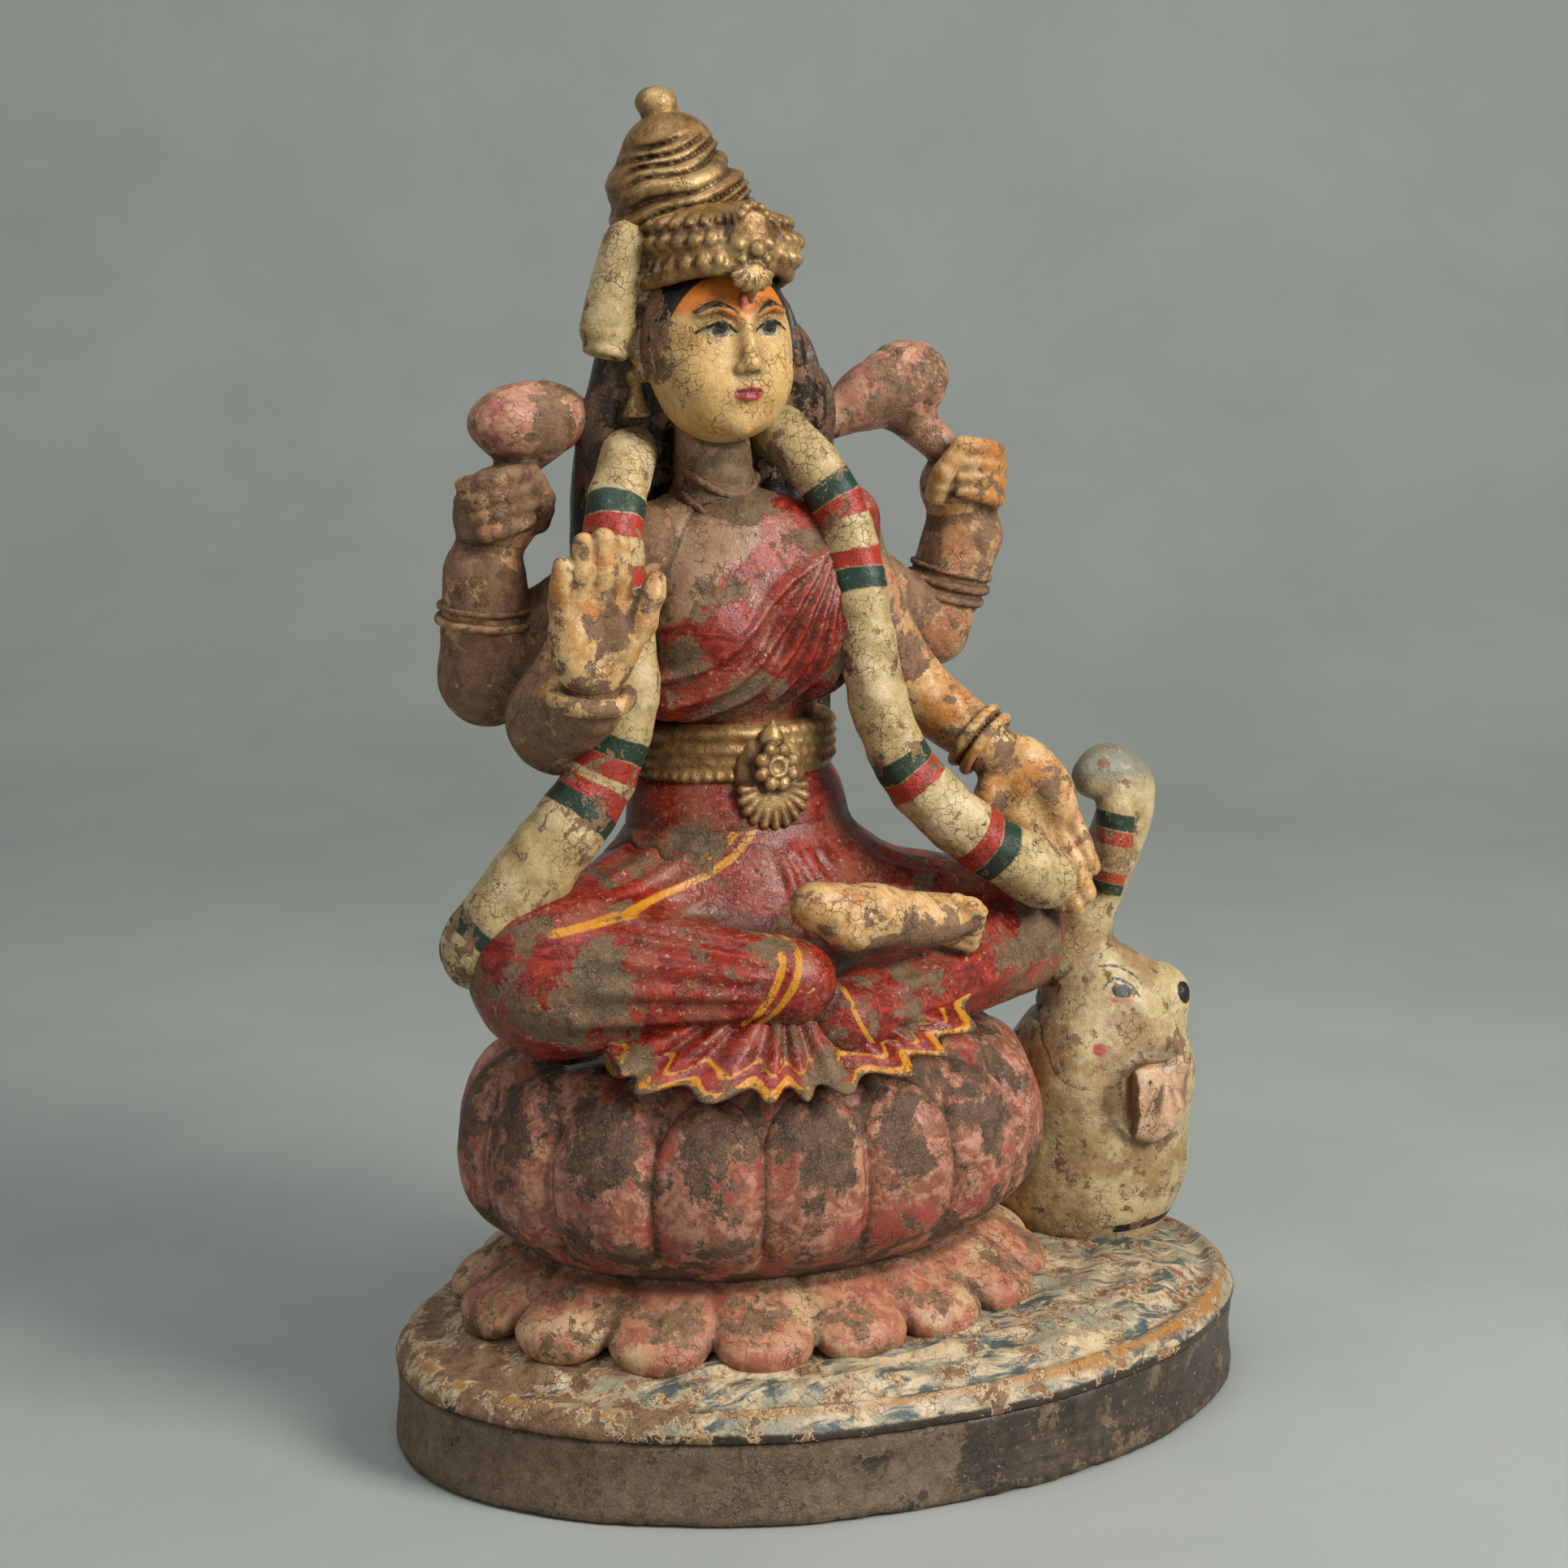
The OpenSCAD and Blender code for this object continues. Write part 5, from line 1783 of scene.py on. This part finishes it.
# (place, radius, strength): where paint has worn off more (or, below nought, less) than elsewhere
def worn_places():
    return [
        (BUST_L + vec(10, -14, -9), 13, 0.34), (BUST_R + vec(-13, -12, -8), 10, 0.26),
        (BUST_R + vec(2, -16, -20), 11, 0.28),
        (BUST_R + vec(2, -18, 2), 13, -0.3), (BUST_L + vec(-10, -16, -6), 15, -0.3),
        (BUST_L + vec(2, -16, 16), 13, -0.2),
        (NECK + vec(0, -14, 0), 20, 0.5),
        (SHIN_R + vec(6, -24, 3), 19, 0.36), (SHIN_R + vec(30, -34, 2), 14, 0.30),
        (SHIN_R + vec(-10, -18, -8), 15, 0.32),
        (SHIN_R + vec(50, -40, -4), 9, 0.24), (KNEE_R + vec(-12, -14, 12), 12, 0.2),
        (SHIN_R + vec(34, -38, -18), 20, -0.3), (HIP_R + vec(-20, -30, 6), 24, -0.24),
        (HIP + vec(0, -30, 24), 26, -0.12),
        (KNEE_L + vec(2, -22, 4), 13, 0.34), (KNEE_L + vec(-16, -28, -6), 11, 0.34),
        (SHIN_L + vec(-34, -32, -8), 20, -0.2),
        # bare, darker clay under the sole of the foot: painted shade beneath it, as well as wear
        (TOES + vec(-16, -10, -9), 12, 0.8), (TOES + vec(-4, -10, -8), 9, 0.8),
        (TOES + vec(-28, -8, -8), 11, 0.8), (TOES + vec(-40, -8, -8), 9, 0.7),
        (PALM_RF + vec(3, -10, -2), 8.5, 0.5), (PALM_RF + vec(-7, -10, 4), 5, 0.3),
        (PALM_LF + vec(-2, -12, 8), 6, 0.4), (WRIST_RF + vec(0, -10, 0), 15, 0.2), (RUN_R[-1], 15, 0.6),
        (BUD_R + vec(2, -16, -2), 11, 0.5), (BUD_R + vec(-12, -12, 4), 9, -0.2),
        (BUD_L + vec(-4, -14, -4), 12, 0.2), (ELBOW_LB + vec(-2, -10, -4), 18, -0.3),
        (WRIST_LB + vec(0, -14, 0), 14, -0.2),
        (SHOULDER_LF + vec(8, -10, -16), 14, -0.25), (ELBOW_RF + vec(8, -16, 8), 12, -0.15),
        (ELBOW_RB + vec(4, -14, -8), 10, -0.2),
    ]


WORN = worn_places()


def bareness(points):
    total = np.zeros(len(points), dtype=np.float32)
    for place, radius, strength in WORN:
        away = np.linalg.norm(points - place, axis=1)
        total += strength * smooth_step(1.25 - away / radius)
    return total


def banded(points, path, greens, reds, width):
    run = run_along(points, path)
    wobble = 0.8 * noise(*points.T.astype(np.float32), 7, 71)
    green = np.min([np.abs(run + wobble - c) for c in greens], axis=0) - width
    red = np.min([np.abs(run + wobble - c) for c in reds], axis=0) - width
    return {"green": green, "red": red}


def marks_garland_left(q):
    return banded(q, RUN_L, (36, 67, 129, 175, 258), (43, 60, 136, 168, 264), 3.4)


def marks_garland_right(q):
    return banded(q, RUN_R, (33, 63, 109, 133, 183), (40, 56, 116, 127), 3.4)


def marks_elephant_trunk(q):
    """Two pairs of bands across the curled tip; the top is greenish grey."""
    tip = TRUNK_CURL[1]
    hide = 20 * smooth_step((q[:, 0] - tip[0] - 5.5) / 3) + 20 * smooth_step((q[:, 1] - tip[1] - 5) / 4)
    drop = q[:, 2] - tip[2] + 0.25 * (q[:, 0] - tip[0])
    green = np.minimum(np.abs(drop + 5) - 3.0, np.abs(drop + 30) - 2.4)
    red = np.minimum(np.abs(drop + 11) - 2.6, np.abs(drop + 25.5) - 1.8)
    return {"green": green + hide, "red": red + hide, "slate": TRUNK[4][2] + 2 - q[:, 2]}


def marks_head(q):
    ink, lips, iris, white = [], [], [], []
    rel = q - HEAD
    front = np.where(rel[:, 1] < -8, 0.0, 30.0)
    for side in (-1, 1):
        def strip(*pts):
            return smoothed([at_head(side * x, 0, z) for x, z in pts], 3)
        brow = strip((3.6, 15.4), (7.0, 17.6), (11.0, 18.2), (16.0, 15.6))
        lid = strip((3.4, 9.2), (6.2, 11.5), (9.2, 12.3), (12.4, 11.4), (16.2, 9.2))
        low = strip((4.4, 8.4), (9.0, 7.4), (13.6, 8.7))
        taper = 1 - np.abs(np.abs(rel[:, 0]) - 9.5) / 9
        ink.append(stroke(q, [brow], 0, 1) - 0.25 - 0.65 * np.clip(taper, 0, 1))
        ink.append(stroke(q, [lid], 0, 1) - 0.25 - 0.5 * np.clip(taper, 0, 1))
        ink.append(stroke(q, [low], 0.12, 1))
        x, z = rel[:, 0] - side * 9.0, rel[:, 2] - 9.8
        iris.append(np.maximum(np.hypot(x, z) - 2.5, np.abs(z) - 2.1))
        ink.append(np.hypot(x, z - 0.2) - 1.2)
        white.append(np.maximum(np.abs(x) - 5.4, np.hypot(x * 0.5, z) - 2.3))
    mouth = rel - vec(0, 0, -10.2)
    lips.append(np.hypot(mouth[:, 0] * 0.42, mouth[:, 2] + 0.2) - 2.3)
    spot = np.hypot(rel[:, 0], rel[:, 2] - 19.5)
    steep = np.where(rel[:, 0] > 0, 0.0001, 0.00004)
    hairline = rel[:, 2] - (27.5 - 0.012 * rel[:, 0] ** 2 - steep * rel[:, 0] ** 4)
    side_hair = np.abs(rel[:, 0]) * 0.5 + rel[:, 1] * 0.9 - 19.5 - 0.16 * (rel[:, 2] - 5)
    return {
        "ink": np.min(ink, axis=0) + front, "lips": np.min(lips, axis=0) + front,
        "iris": np.min(iris, axis=0) + front,
        "white": np.min(white, axis=0) + front, "bindi": np.abs(spot - 1.7) - 0.6 + front,
        "hair": np.minimum(-hairline, np.where(rel[:, 0] > 0, -side_hair, 20.0)),
        "worn": 0.5 * smooth_step((-rel[:, 0] - 19.5 + 0.5 * noise(*q.T.astype(np.float32), 6, 82)) / 2.5)
        * smooth_step((hairline + 20.0) / 3.0),
        "warm": 16.0 - rel[:, 2] + 4.0 * noise(*q.T.astype(np.float32), 9, 81)
        - 7.0 * np.exp(-((np.abs(rel[:, 0]) - 4.5) ** 2 + (rel[:, 2] - 8) ** 2) / 16),
    }


def marks_lap(q):
    """Twin gold lines that run from the belt along the thigh."""
    belt_line = smoothed([HIP + vec(-7, 0, 37), HIP + vec(-12, 0, 30), HIP + vec(-22, 0, 22),
                          HIP + vec(-37, 0, 16), HIP + vec(-62, 0, 12), HIP + vec(-90, 0, 8)])
    twin = [v + vec(-2.5, 0, 3) for v in belt_line[:10]]
    behind = np.where(q[:, 1] > HIP[1] + 2, 20, 0)
    return {"gold": stroke(q, [belt_line, twin], 1.1, 1) + behind}


def marks_right_leg(q):
    """The lines along the thigh, and two more round the cuff."""
    cuff = smoothed([ANKLE_R + vec(-3, -8, 24), ANKLE_R + vec(-2, -12, 12), ANKLE_R + vec(-8, -14, -2),
                     ANKLE_R + vec(-14, -12, -12)])
    cuff2 = [v + vec(-4.5, 0, 1) for v in cuff]
    behind = np.where(q[:, 1] > ANKLE_R[1] + 12, 20, 0)
    return {"gold": np.minimum(marks_lap(q)["gold"], stroke(q, [cuff, cuff2], 1.1, 1) + behind)}


def marks_sari_hem(q):
    _, above, _ = hem_place(*q.T)
    wobble = 1.2 * noise(*q.T.astype(np.float32), 6, 72)
    return {"gold": np.minimum(np.abs(above - 2.4 + wobble) - 1.4, np.abs(above - 7.6 + wobble) - 0.6),
            "worn": np.full(len(q), 0.03)}


def marks_left_leg(q):
    cuff = smoothed([SHIN_END_L + vec(-4, 0, 12), SHIN_END_L + vec(-2, 0, 2), SHIN_END_L + vec(6, 0, -8),
                     SHIN_END_L + vec(16, 0, -14)])
    return {"gold": stroke(q, [cuff], 0.8, 1)}


def marks_elephant_head(q):
    eye = ELEPHANT_HEAD + vec(-7.5, -21, 13)
    lid = smoothed([eye + vec(-6, 0, 0), eye + vec(-2, 0, 3.4), eye + vec(3.6, 0, 1.4),
                    eye + vec(6.6, 0, -3.4)])
    brow = smoothed([eye + vec(-6, 0, 7.4), eye + vec(0, 0, 7.4), eye + vec(6, 0, 4.2),
                     eye + vec(8.6, 0, 0.6)])
    pupil = stroke(q, [[eye + vec(-1.2, 0, -0.6), eye + vec(1.6, 0, -1.0)]], 2.2, 1)
    ink = [pupil, stroke(q, [lid], 0.45, 1), stroke(q, [brow], 0.4, 1),
           disc(q, ELEPHANT_HEAD + vec(20.5, -13, 7.5), 4.2)]
    low = stroke(q, [[eye + vec(-4, 0, -3.6), eye + vec(3, 0, -4.2)]], 0.5, 1)
    smear = disc(q, ELEPHANT_HEAD + vec(-19, -20, -7), 2.6)
    front = np.where(q[:, 1] < ELEPHANT_HEAD[1] - 4, 0, 20)
    return {"ink": np.min(ink, axis=0) + front, "rouge": np.minimum(low, smear) + front}


def marks_water_deck(q):
    _, share = oval_wall(cloud_of(q), PLINTH, PLINTH_HALF[0] - 1.6, PLINTH_HALF[1] - 1.4)
    return {"rimline": np.abs(share - 0.972) * 130 - 1.0 + 2.0 * noise(*q.T.astype(np.float32), 24, 91),
            "skirt": np.maximum((0.972 - share) * 130, q[:, 2] - 31.4),
            "worn": 0.24 * smooth_step((-q[:, 0] - 78) / 50)}


def marks_plinth_band(q):
    """The black has gone brown on her right, and along the foot."""
    return {"worn": 0.36 * smooth_step((20 - q[:, 0]) / 90) + 0.12 * smooth_step((9 - q[:, 2]) / 6)}


def marks_elephant_body(q):
    # a dark band round the body just above where it rises from the deck: painted shade along its foot,
    # carried by the ink mark
    return {"ink": np.abs(q[:, 2] - 48.5) - 1.6 + np.clip(-2 - (q[:, 0] - ELEPHANT[0]), 0, 30)}


def marks_body(q):
    """The bare chest and shoulder: above the sari's slanting edge, and on her right of its upright one."""
    x, _, z = (q - CHEST).T
    across = z - 20.0 - 0.83 * (x + 10.5)
    beside = (0.2 * (z - 20.0) - 5.0 - x) * 1.2
    return {"chest": -np.minimum(across, beside) + 1.2 * noise(*q.T.astype(np.float32), 8, 101)}


def marks_neck(q):
    return {"chest": np.full(len(q), -20.0)}


def marks_upper_petals(q):
    z = q[:, 2]
    marks = np.zeros(len(q))
    for _, a, _ in petal_angles(95, 76, 0.5):
        middle = vec(SEAT[0] + 95 * math.cos(a), SEAT[1] + 76 * math.sin(a), 108)
        worn = 0.34 if math.sin(a) < 0.3 and math.cos(a) < 0.62 else 0.05
        away = np.hypot(np.linalg.norm((q - middle)[:, :2], axis=1) / 13, (z - 112) / 17)
        marks += worn * smooth_step(1.5 - away)
    foot = 0.16 * smooth_step((94 - z) / 16)
    return {"worn": marks - 0.10 + foot}


MARKS = {
    "torso": marks_body, "sari_drape": marks_body, "neck": marks_neck, "upper_petals": marks_upper_petals,
    "garland_left": marks_garland_left, "garland_right": marks_garland_right,
    "elephant_trunk": marks_elephant_trunk,
    "head": marks_head, "right_leg": marks_right_leg, "lap": marks_lap, "sari_hem": marks_sari_hem,
    "left_leg": marks_left_leg, "elephant_head": marks_elephant_head, "water_deck": marks_water_deck,
    "plinth_band": marks_plinth_band,
    "elephant_body": marks_elephant_body,
}


# ---------------------------------------------------------------------------
# Which paint goes where
# ---------------------------------------------------------------------------
def paint_table():
    """The pieces' names by material and slot, as (material, slot, names)."""
    skin = (rgb(224, 196, 148), rgb(202, 160, 102), rgb(200, 138, 72))
    sari = painted(
        "red_paint", (rgb(118, 24, 20), rgb(166, 50, 34), rgb(150, 82, 68)),
        wear=0.37, flake=19, gloss=0.27, rim=0.0, soft=0.022, craze=0.6, dusty=0.22, speckle=0.8, patchy=0.09,
        clay=(rgb(122, 102, 78), rgb(88, 74, 56)), streak=(0.6, 0.6, 1.4),
        marks=[("chest", rgb(166, 136, 112), 1.2), ("gold", YELLOW, 0.3)])
    limbs = painted(
        "bare_clay", (rgb(206, 172, 132), rgb(196, 136, 92), rgb(176, 118, 90)),
        wear=0.61, flake=14, gloss=0.46, dusty=0.2, speckle=0.9)
    hands = painted(
        "skin_paint", skin, wear=0.40, flake=8, gloss=0.34, dusty=0.15, grime_and_shade=0.9, patchy=0.10)
    face = painted(
        "face_paint", (rgb(226, 198, 140), rgb(216, 182, 120), rgb(206, 166, 104)),
        wear=0.12, flake=9, gloss=0.3, dusty=0.06, grime_and_shade=0.55, craze=0.7, speckle=0.1,
        marks=[("warm", rgb(222, 136, 50), 2.4), ("white", rgb(200, 198, 172), 0.3),
               ("iris", rgb(60, 62, 50), 0.25), ("lips", rgb(184, 76, 80), 0.35),
               ("bindi", rgb(180, 60, 64), 0.2), ("ink", INK, 0.14), ("hair", INK, 0.3)])
    garland = painted(
        "cream_paint", (rgb(206, 190, 146), rgb(184, 168, 120), rgb(218, 204, 168)),
        wear=0.35, flake=8, gloss=0.38, craze=0.8, dusty=0.14, patchy=0.10,
        marks=[("green", GREEN, 0.4), ("red", BAND_RED, 0.4)])
    black = painted(
        "black_paint", (rgb(26, 24, 24), rgb(40, 36, 34)),
        wear=0.42, flake=8, gloss=0.3, rim=0.0, dusty=0.1, speckle=0.8)
    gilt = painted(
        "bronze_paint", (rgb(170, 138, 88), rgb(128, 98, 62), rgb(204, 178, 128)),
        wear=0.24, flake=9, gloss=0.30, metal=0.35, dusty=0.15, craze=0.2, speckle=0.3, grime_and_shade=1.0)
    lotus = painted(
        "rose_paint", (rgb(150, 94, 78), rgb(202, 152, 134), rgb(166, 78, 70)),
        wear=0.48, flake=16, gloss=0.32, rim=0.012, dusty=0.2, soft=0.016, patchy=0.10,
        clay=(rgb(108, 82, 64), rgb(62, 46, 38)), ground=rgb(206, 162, 142))
    lobes = painted(
        "rose_lower_paint", (rgb(176, 110, 92), rgb(206, 154, 126), rgb(212, 186, 152)),
        wear=0.44, flake=13, gloss=0.42, dusty=0.25, patchy=0.09)
    tusker = painted(
        "elephant_paint", (rgb(214, 204, 168), rgb(196, 182, 136), rgb(166, 142, 104)),
        wear=0.35, flake=8, gloss=0.38, dusty=0.3, craze=0.5, patchy=0.13, speckle=0.8,
        marks=[("slate", rgb(134, 142, 130), 5.0), ("green", GREEN, 0.4), ("red", rgb(190, 74, 44), 0.4),
               ("ink", INK, 0.3), ("rouge", rgb(170, 60, 50), 0.8)])
    shell = painted(
        "ear_paint", (rgb(226, 200, 172), rgb(204, 168, 140)), wear=0.28, flake=8, gloss=0.36)
    water = painted(
        "water_paint", (rgb(216, 204, 178), rgb(78, 100, 108), rgb(166, 168, 154)),
        wear=0.41, flake=11, gloss=0.34, rim=0.035, patchy=0.08, dusty=0.12,
        clay=(rgb(150, 122, 96), rgb(104, 82, 64)), streak=(0.35, 1.0, 1.0),
        marks=[("rimline", rgb(176, 132, 74), 1.0), ("skirt", rgb(56, 50, 46), 0.5)])
    band = painted(
        "plinth_paint", (rgb(58, 52, 48), rgb(80, 74, 66), rgb(50, 44, 42)),
        wear=0.36, flake=12, gloss=0.36, rim=0.0, soft=0.03, dusty=0.35,
        clay=(rgb(120, 108, 94), rgb(92, 78, 64)), streak=(0.3, 0.3, 1.6))
    buds = painted(
        "bud_paint", (rgb(190, 136, 120), rgb(212, 168, 146), rgb(164, 92, 82)),
        wear=0.45, flake=12, gloss=0.34, dusty=0.25, patchy=0.10)
    return [
        (band, "black_paint", ["plinth_band"]),
        (water, "water_paint", ["water_deck"]),
        (lotus, "rose_paint", ["lotus_seat", "upper_petals", "rim_petals"]),
        (lobes, "rose_paint", ["lower_petals"]),
        (buds, "rose_paint", ["right_lotus_bud", "left_lotus_bud"]),
        (sari, "bare_clay", ["torso", "neck"]),
        (sari, "red_paint", ["lap", "right_leg", "left_leg", "sari_hem", "sari_drape"]),
        (face, "skin_paint", ["head"]),
        (hands, "skin_paint",
         ["blessing_hand", "giving_hand", "right_foot", "left_front_forearm", "left_fist",
                               "front_bangles"]),
        (limbs, "bare_clay", ["right_front_upper_arm", "right_front_forearm", "left_front_upper_arm",
                              "right_back_upper_arm", "right_back_forearm", "right_fist",
                              "left_back_upper_arm", "left_back_forearm", "back_bangles", "necklace"]),
        (black, "black_paint", ["hair_back"]),
        (gilt, "bronze_paint", ["tiara", "crown", "crown_finial", "waist_belt", "belt_buckle", "earrings"]),
        (garland, "cream_paint", ["hair_garland", "garland_left", "garland_right"]),
        (tusker, "cream_paint", ["elephant_body", "elephant_head", "elephant_trunk"]),
        (shell, "cream_paint", ["elephant_ears"]),
    ]


SHARED_MARKS = ("gold", "green", "red", "ink", "rouge", "chest", "slate")
UNMARKED = 20.0         # a distance well clear of every painted mark


def make_piece(name, material, slot):
    """Sculpt one node's skin, mark what is painted and worn on it, and hand it to the frame."""
    points, quads, marks = surface(name)
    marks["bare"] = bareness(points)
    if name in MARKS:
        marks.update(MARKS[name](points.astype(float)))
    marks["bare"] = marks["bare"] + marks.pop("worn", 0)
    for key in SHARED_MARKS:
        marks.setdefault(key, np.full(len(points), UNMARKED))
    thing = mesh_object(name + "_skin", points, quads, marks, material)
    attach(thing, "root")
    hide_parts(name)


for coat, slot_name, pieces in paint_table():
    for piece in pieces:
        make_piece(piece, coat, slot_name)


# ---------------------------------------------------------------------------
# Floor, light and camera
# ---------------------------------------------------------------------------
VIEW_TURN = -28.0       # degrees round from straight in front of her, and up
VIEW_RISE = 11.2
VIEW_DISTANCE = 1.15
VIEW_WIDTH = 26.0       # the lens's field of view, in degrees


def studio():
    """A plain floor that curves up into a backdrop, turned to face the camera."""
    g = Graph("floor_paint")
    tone = g.mix(g.ramp(g.noise(160, 4, 0.6, 0.2, 1), 0.3, 0.7), rgb(150, 156, 152), rgb(158, 163, 159))
    floor_material = g.finish(tone, 0.55, g.noise(1.5, 2, 0.5, 0, 4), bump_mm=0.1)
    rows = [(-4.0, 0.0), (0.9, 0.0), (1.0, 0.0)]
    for n in range(1, 13):
        a = math.radians(90 * n / 12)
        rows.append((1.0 + 0.7 * math.sin(a), 0.7 * (1 - math.cos(a))))
    rows.append((1.7, 4.0))
    verts, faces = [], []
    for y, z in rows:
        verts += [(-4.0, y, z), (4.0, y, z)]
    for n in range(len(rows) - 1):
        faces.append((2 * n, 2 * n + 1, 2 * n + 3, 2 * n + 2))
    mesh = bpy.data.meshes.new("backdrop")
    mesh.from_pydata(verts, [], faces)
    mesh.polygons.foreach_set("use_smooth", [True] * len(faces))
    mesh.materials.append(floor_material)
    floor = bpy.data.objects.new("backdrop", mesh)
    floor.rotation_euler = (0, 0, math.radians(VIEW_TURN))
    bpy.context.collection.objects.link(floor)


def view_axes():
    """What lies to the camera's right, and towards it, on the level."""
    a = math.radians(VIEW_TURN)
    return Vector((math.cos(a), math.sin(a), 0)), Vector((math.sin(a), -math.cos(a), 0))


def aim(thing, target):
    thing.rotation_euler = (Vector(target) - thing.location).to_track_quat("-Z", "Y").to_euler()


def soft_light(name, right, towards, up, size, power, tint):
    """An area light, placed by how far right of, in front of and above the figure the camera sees it."""
    data = bpy.data.lights.new(name, "AREA")
    data.shape = "RECTANGLE"
    data.size, data.size_y = size
    data.energy = power
    data.color = tint
    lamp = bpy.data.objects.new(name, data)
    across, front = view_axes()
    lamp.location = across * right + front * towards + Vector((0, 0, up))
    aim(lamp, (0, 0, 0.22))
    bpy.context.collection.objects.link(lamp)


def lights():
    soft_light("window", 1.3, 0.9, 1.2, (0.7, 0.9), 45, (1.0, 0.97, 0.92))
    soft_light("overhead", -0.2, 0.3, 1.9, (1.2, 1.2), 13, (0.97, 0.99, 1.0))
    soft_light("fill", -1.3, 1.3, 0.8, (1.2, 1.2), 5, (1.0, 0.95, 0.88))
    world = bpy.data.worlds.new("room")
    world.use_nodes = True
    world.node_tree.nodes["Background"].inputs[0].default_value = (0.86, 0.9, 0.92, 1)
    world.node_tree.nodes["Background"].inputs[1].default_value = 0.22
    bpy.context.scene.world = world


def camera():
    across, front = view_axes()
    rise = math.radians(VIEW_RISE)
    height = CAD_BOX[1].z - CAD_BOX[0].z
    target = Vector((0, 0, 0.482 * height)) - across * 0.0148
    data = bpy.data.cameras.new("camera")
    data.sensor_width = 36
    data.lens = data.sensor_width / 2 / math.tan(math.radians(VIEW_WIDTH / 2))
    eye = bpy.data.objects.new("camera", data)
    eye.location = target + (front * math.cos(rise) + Vector((0, 0, math.sin(rise)))) * VIEW_DISTANCE
    aim(eye, target)
    bpy.context.collection.objects.link(eye)
    bpy.context.scene.camera = eye


studio()
lights()
camera()
bpy.context.scene.view_settings.view_transform = "Standard"
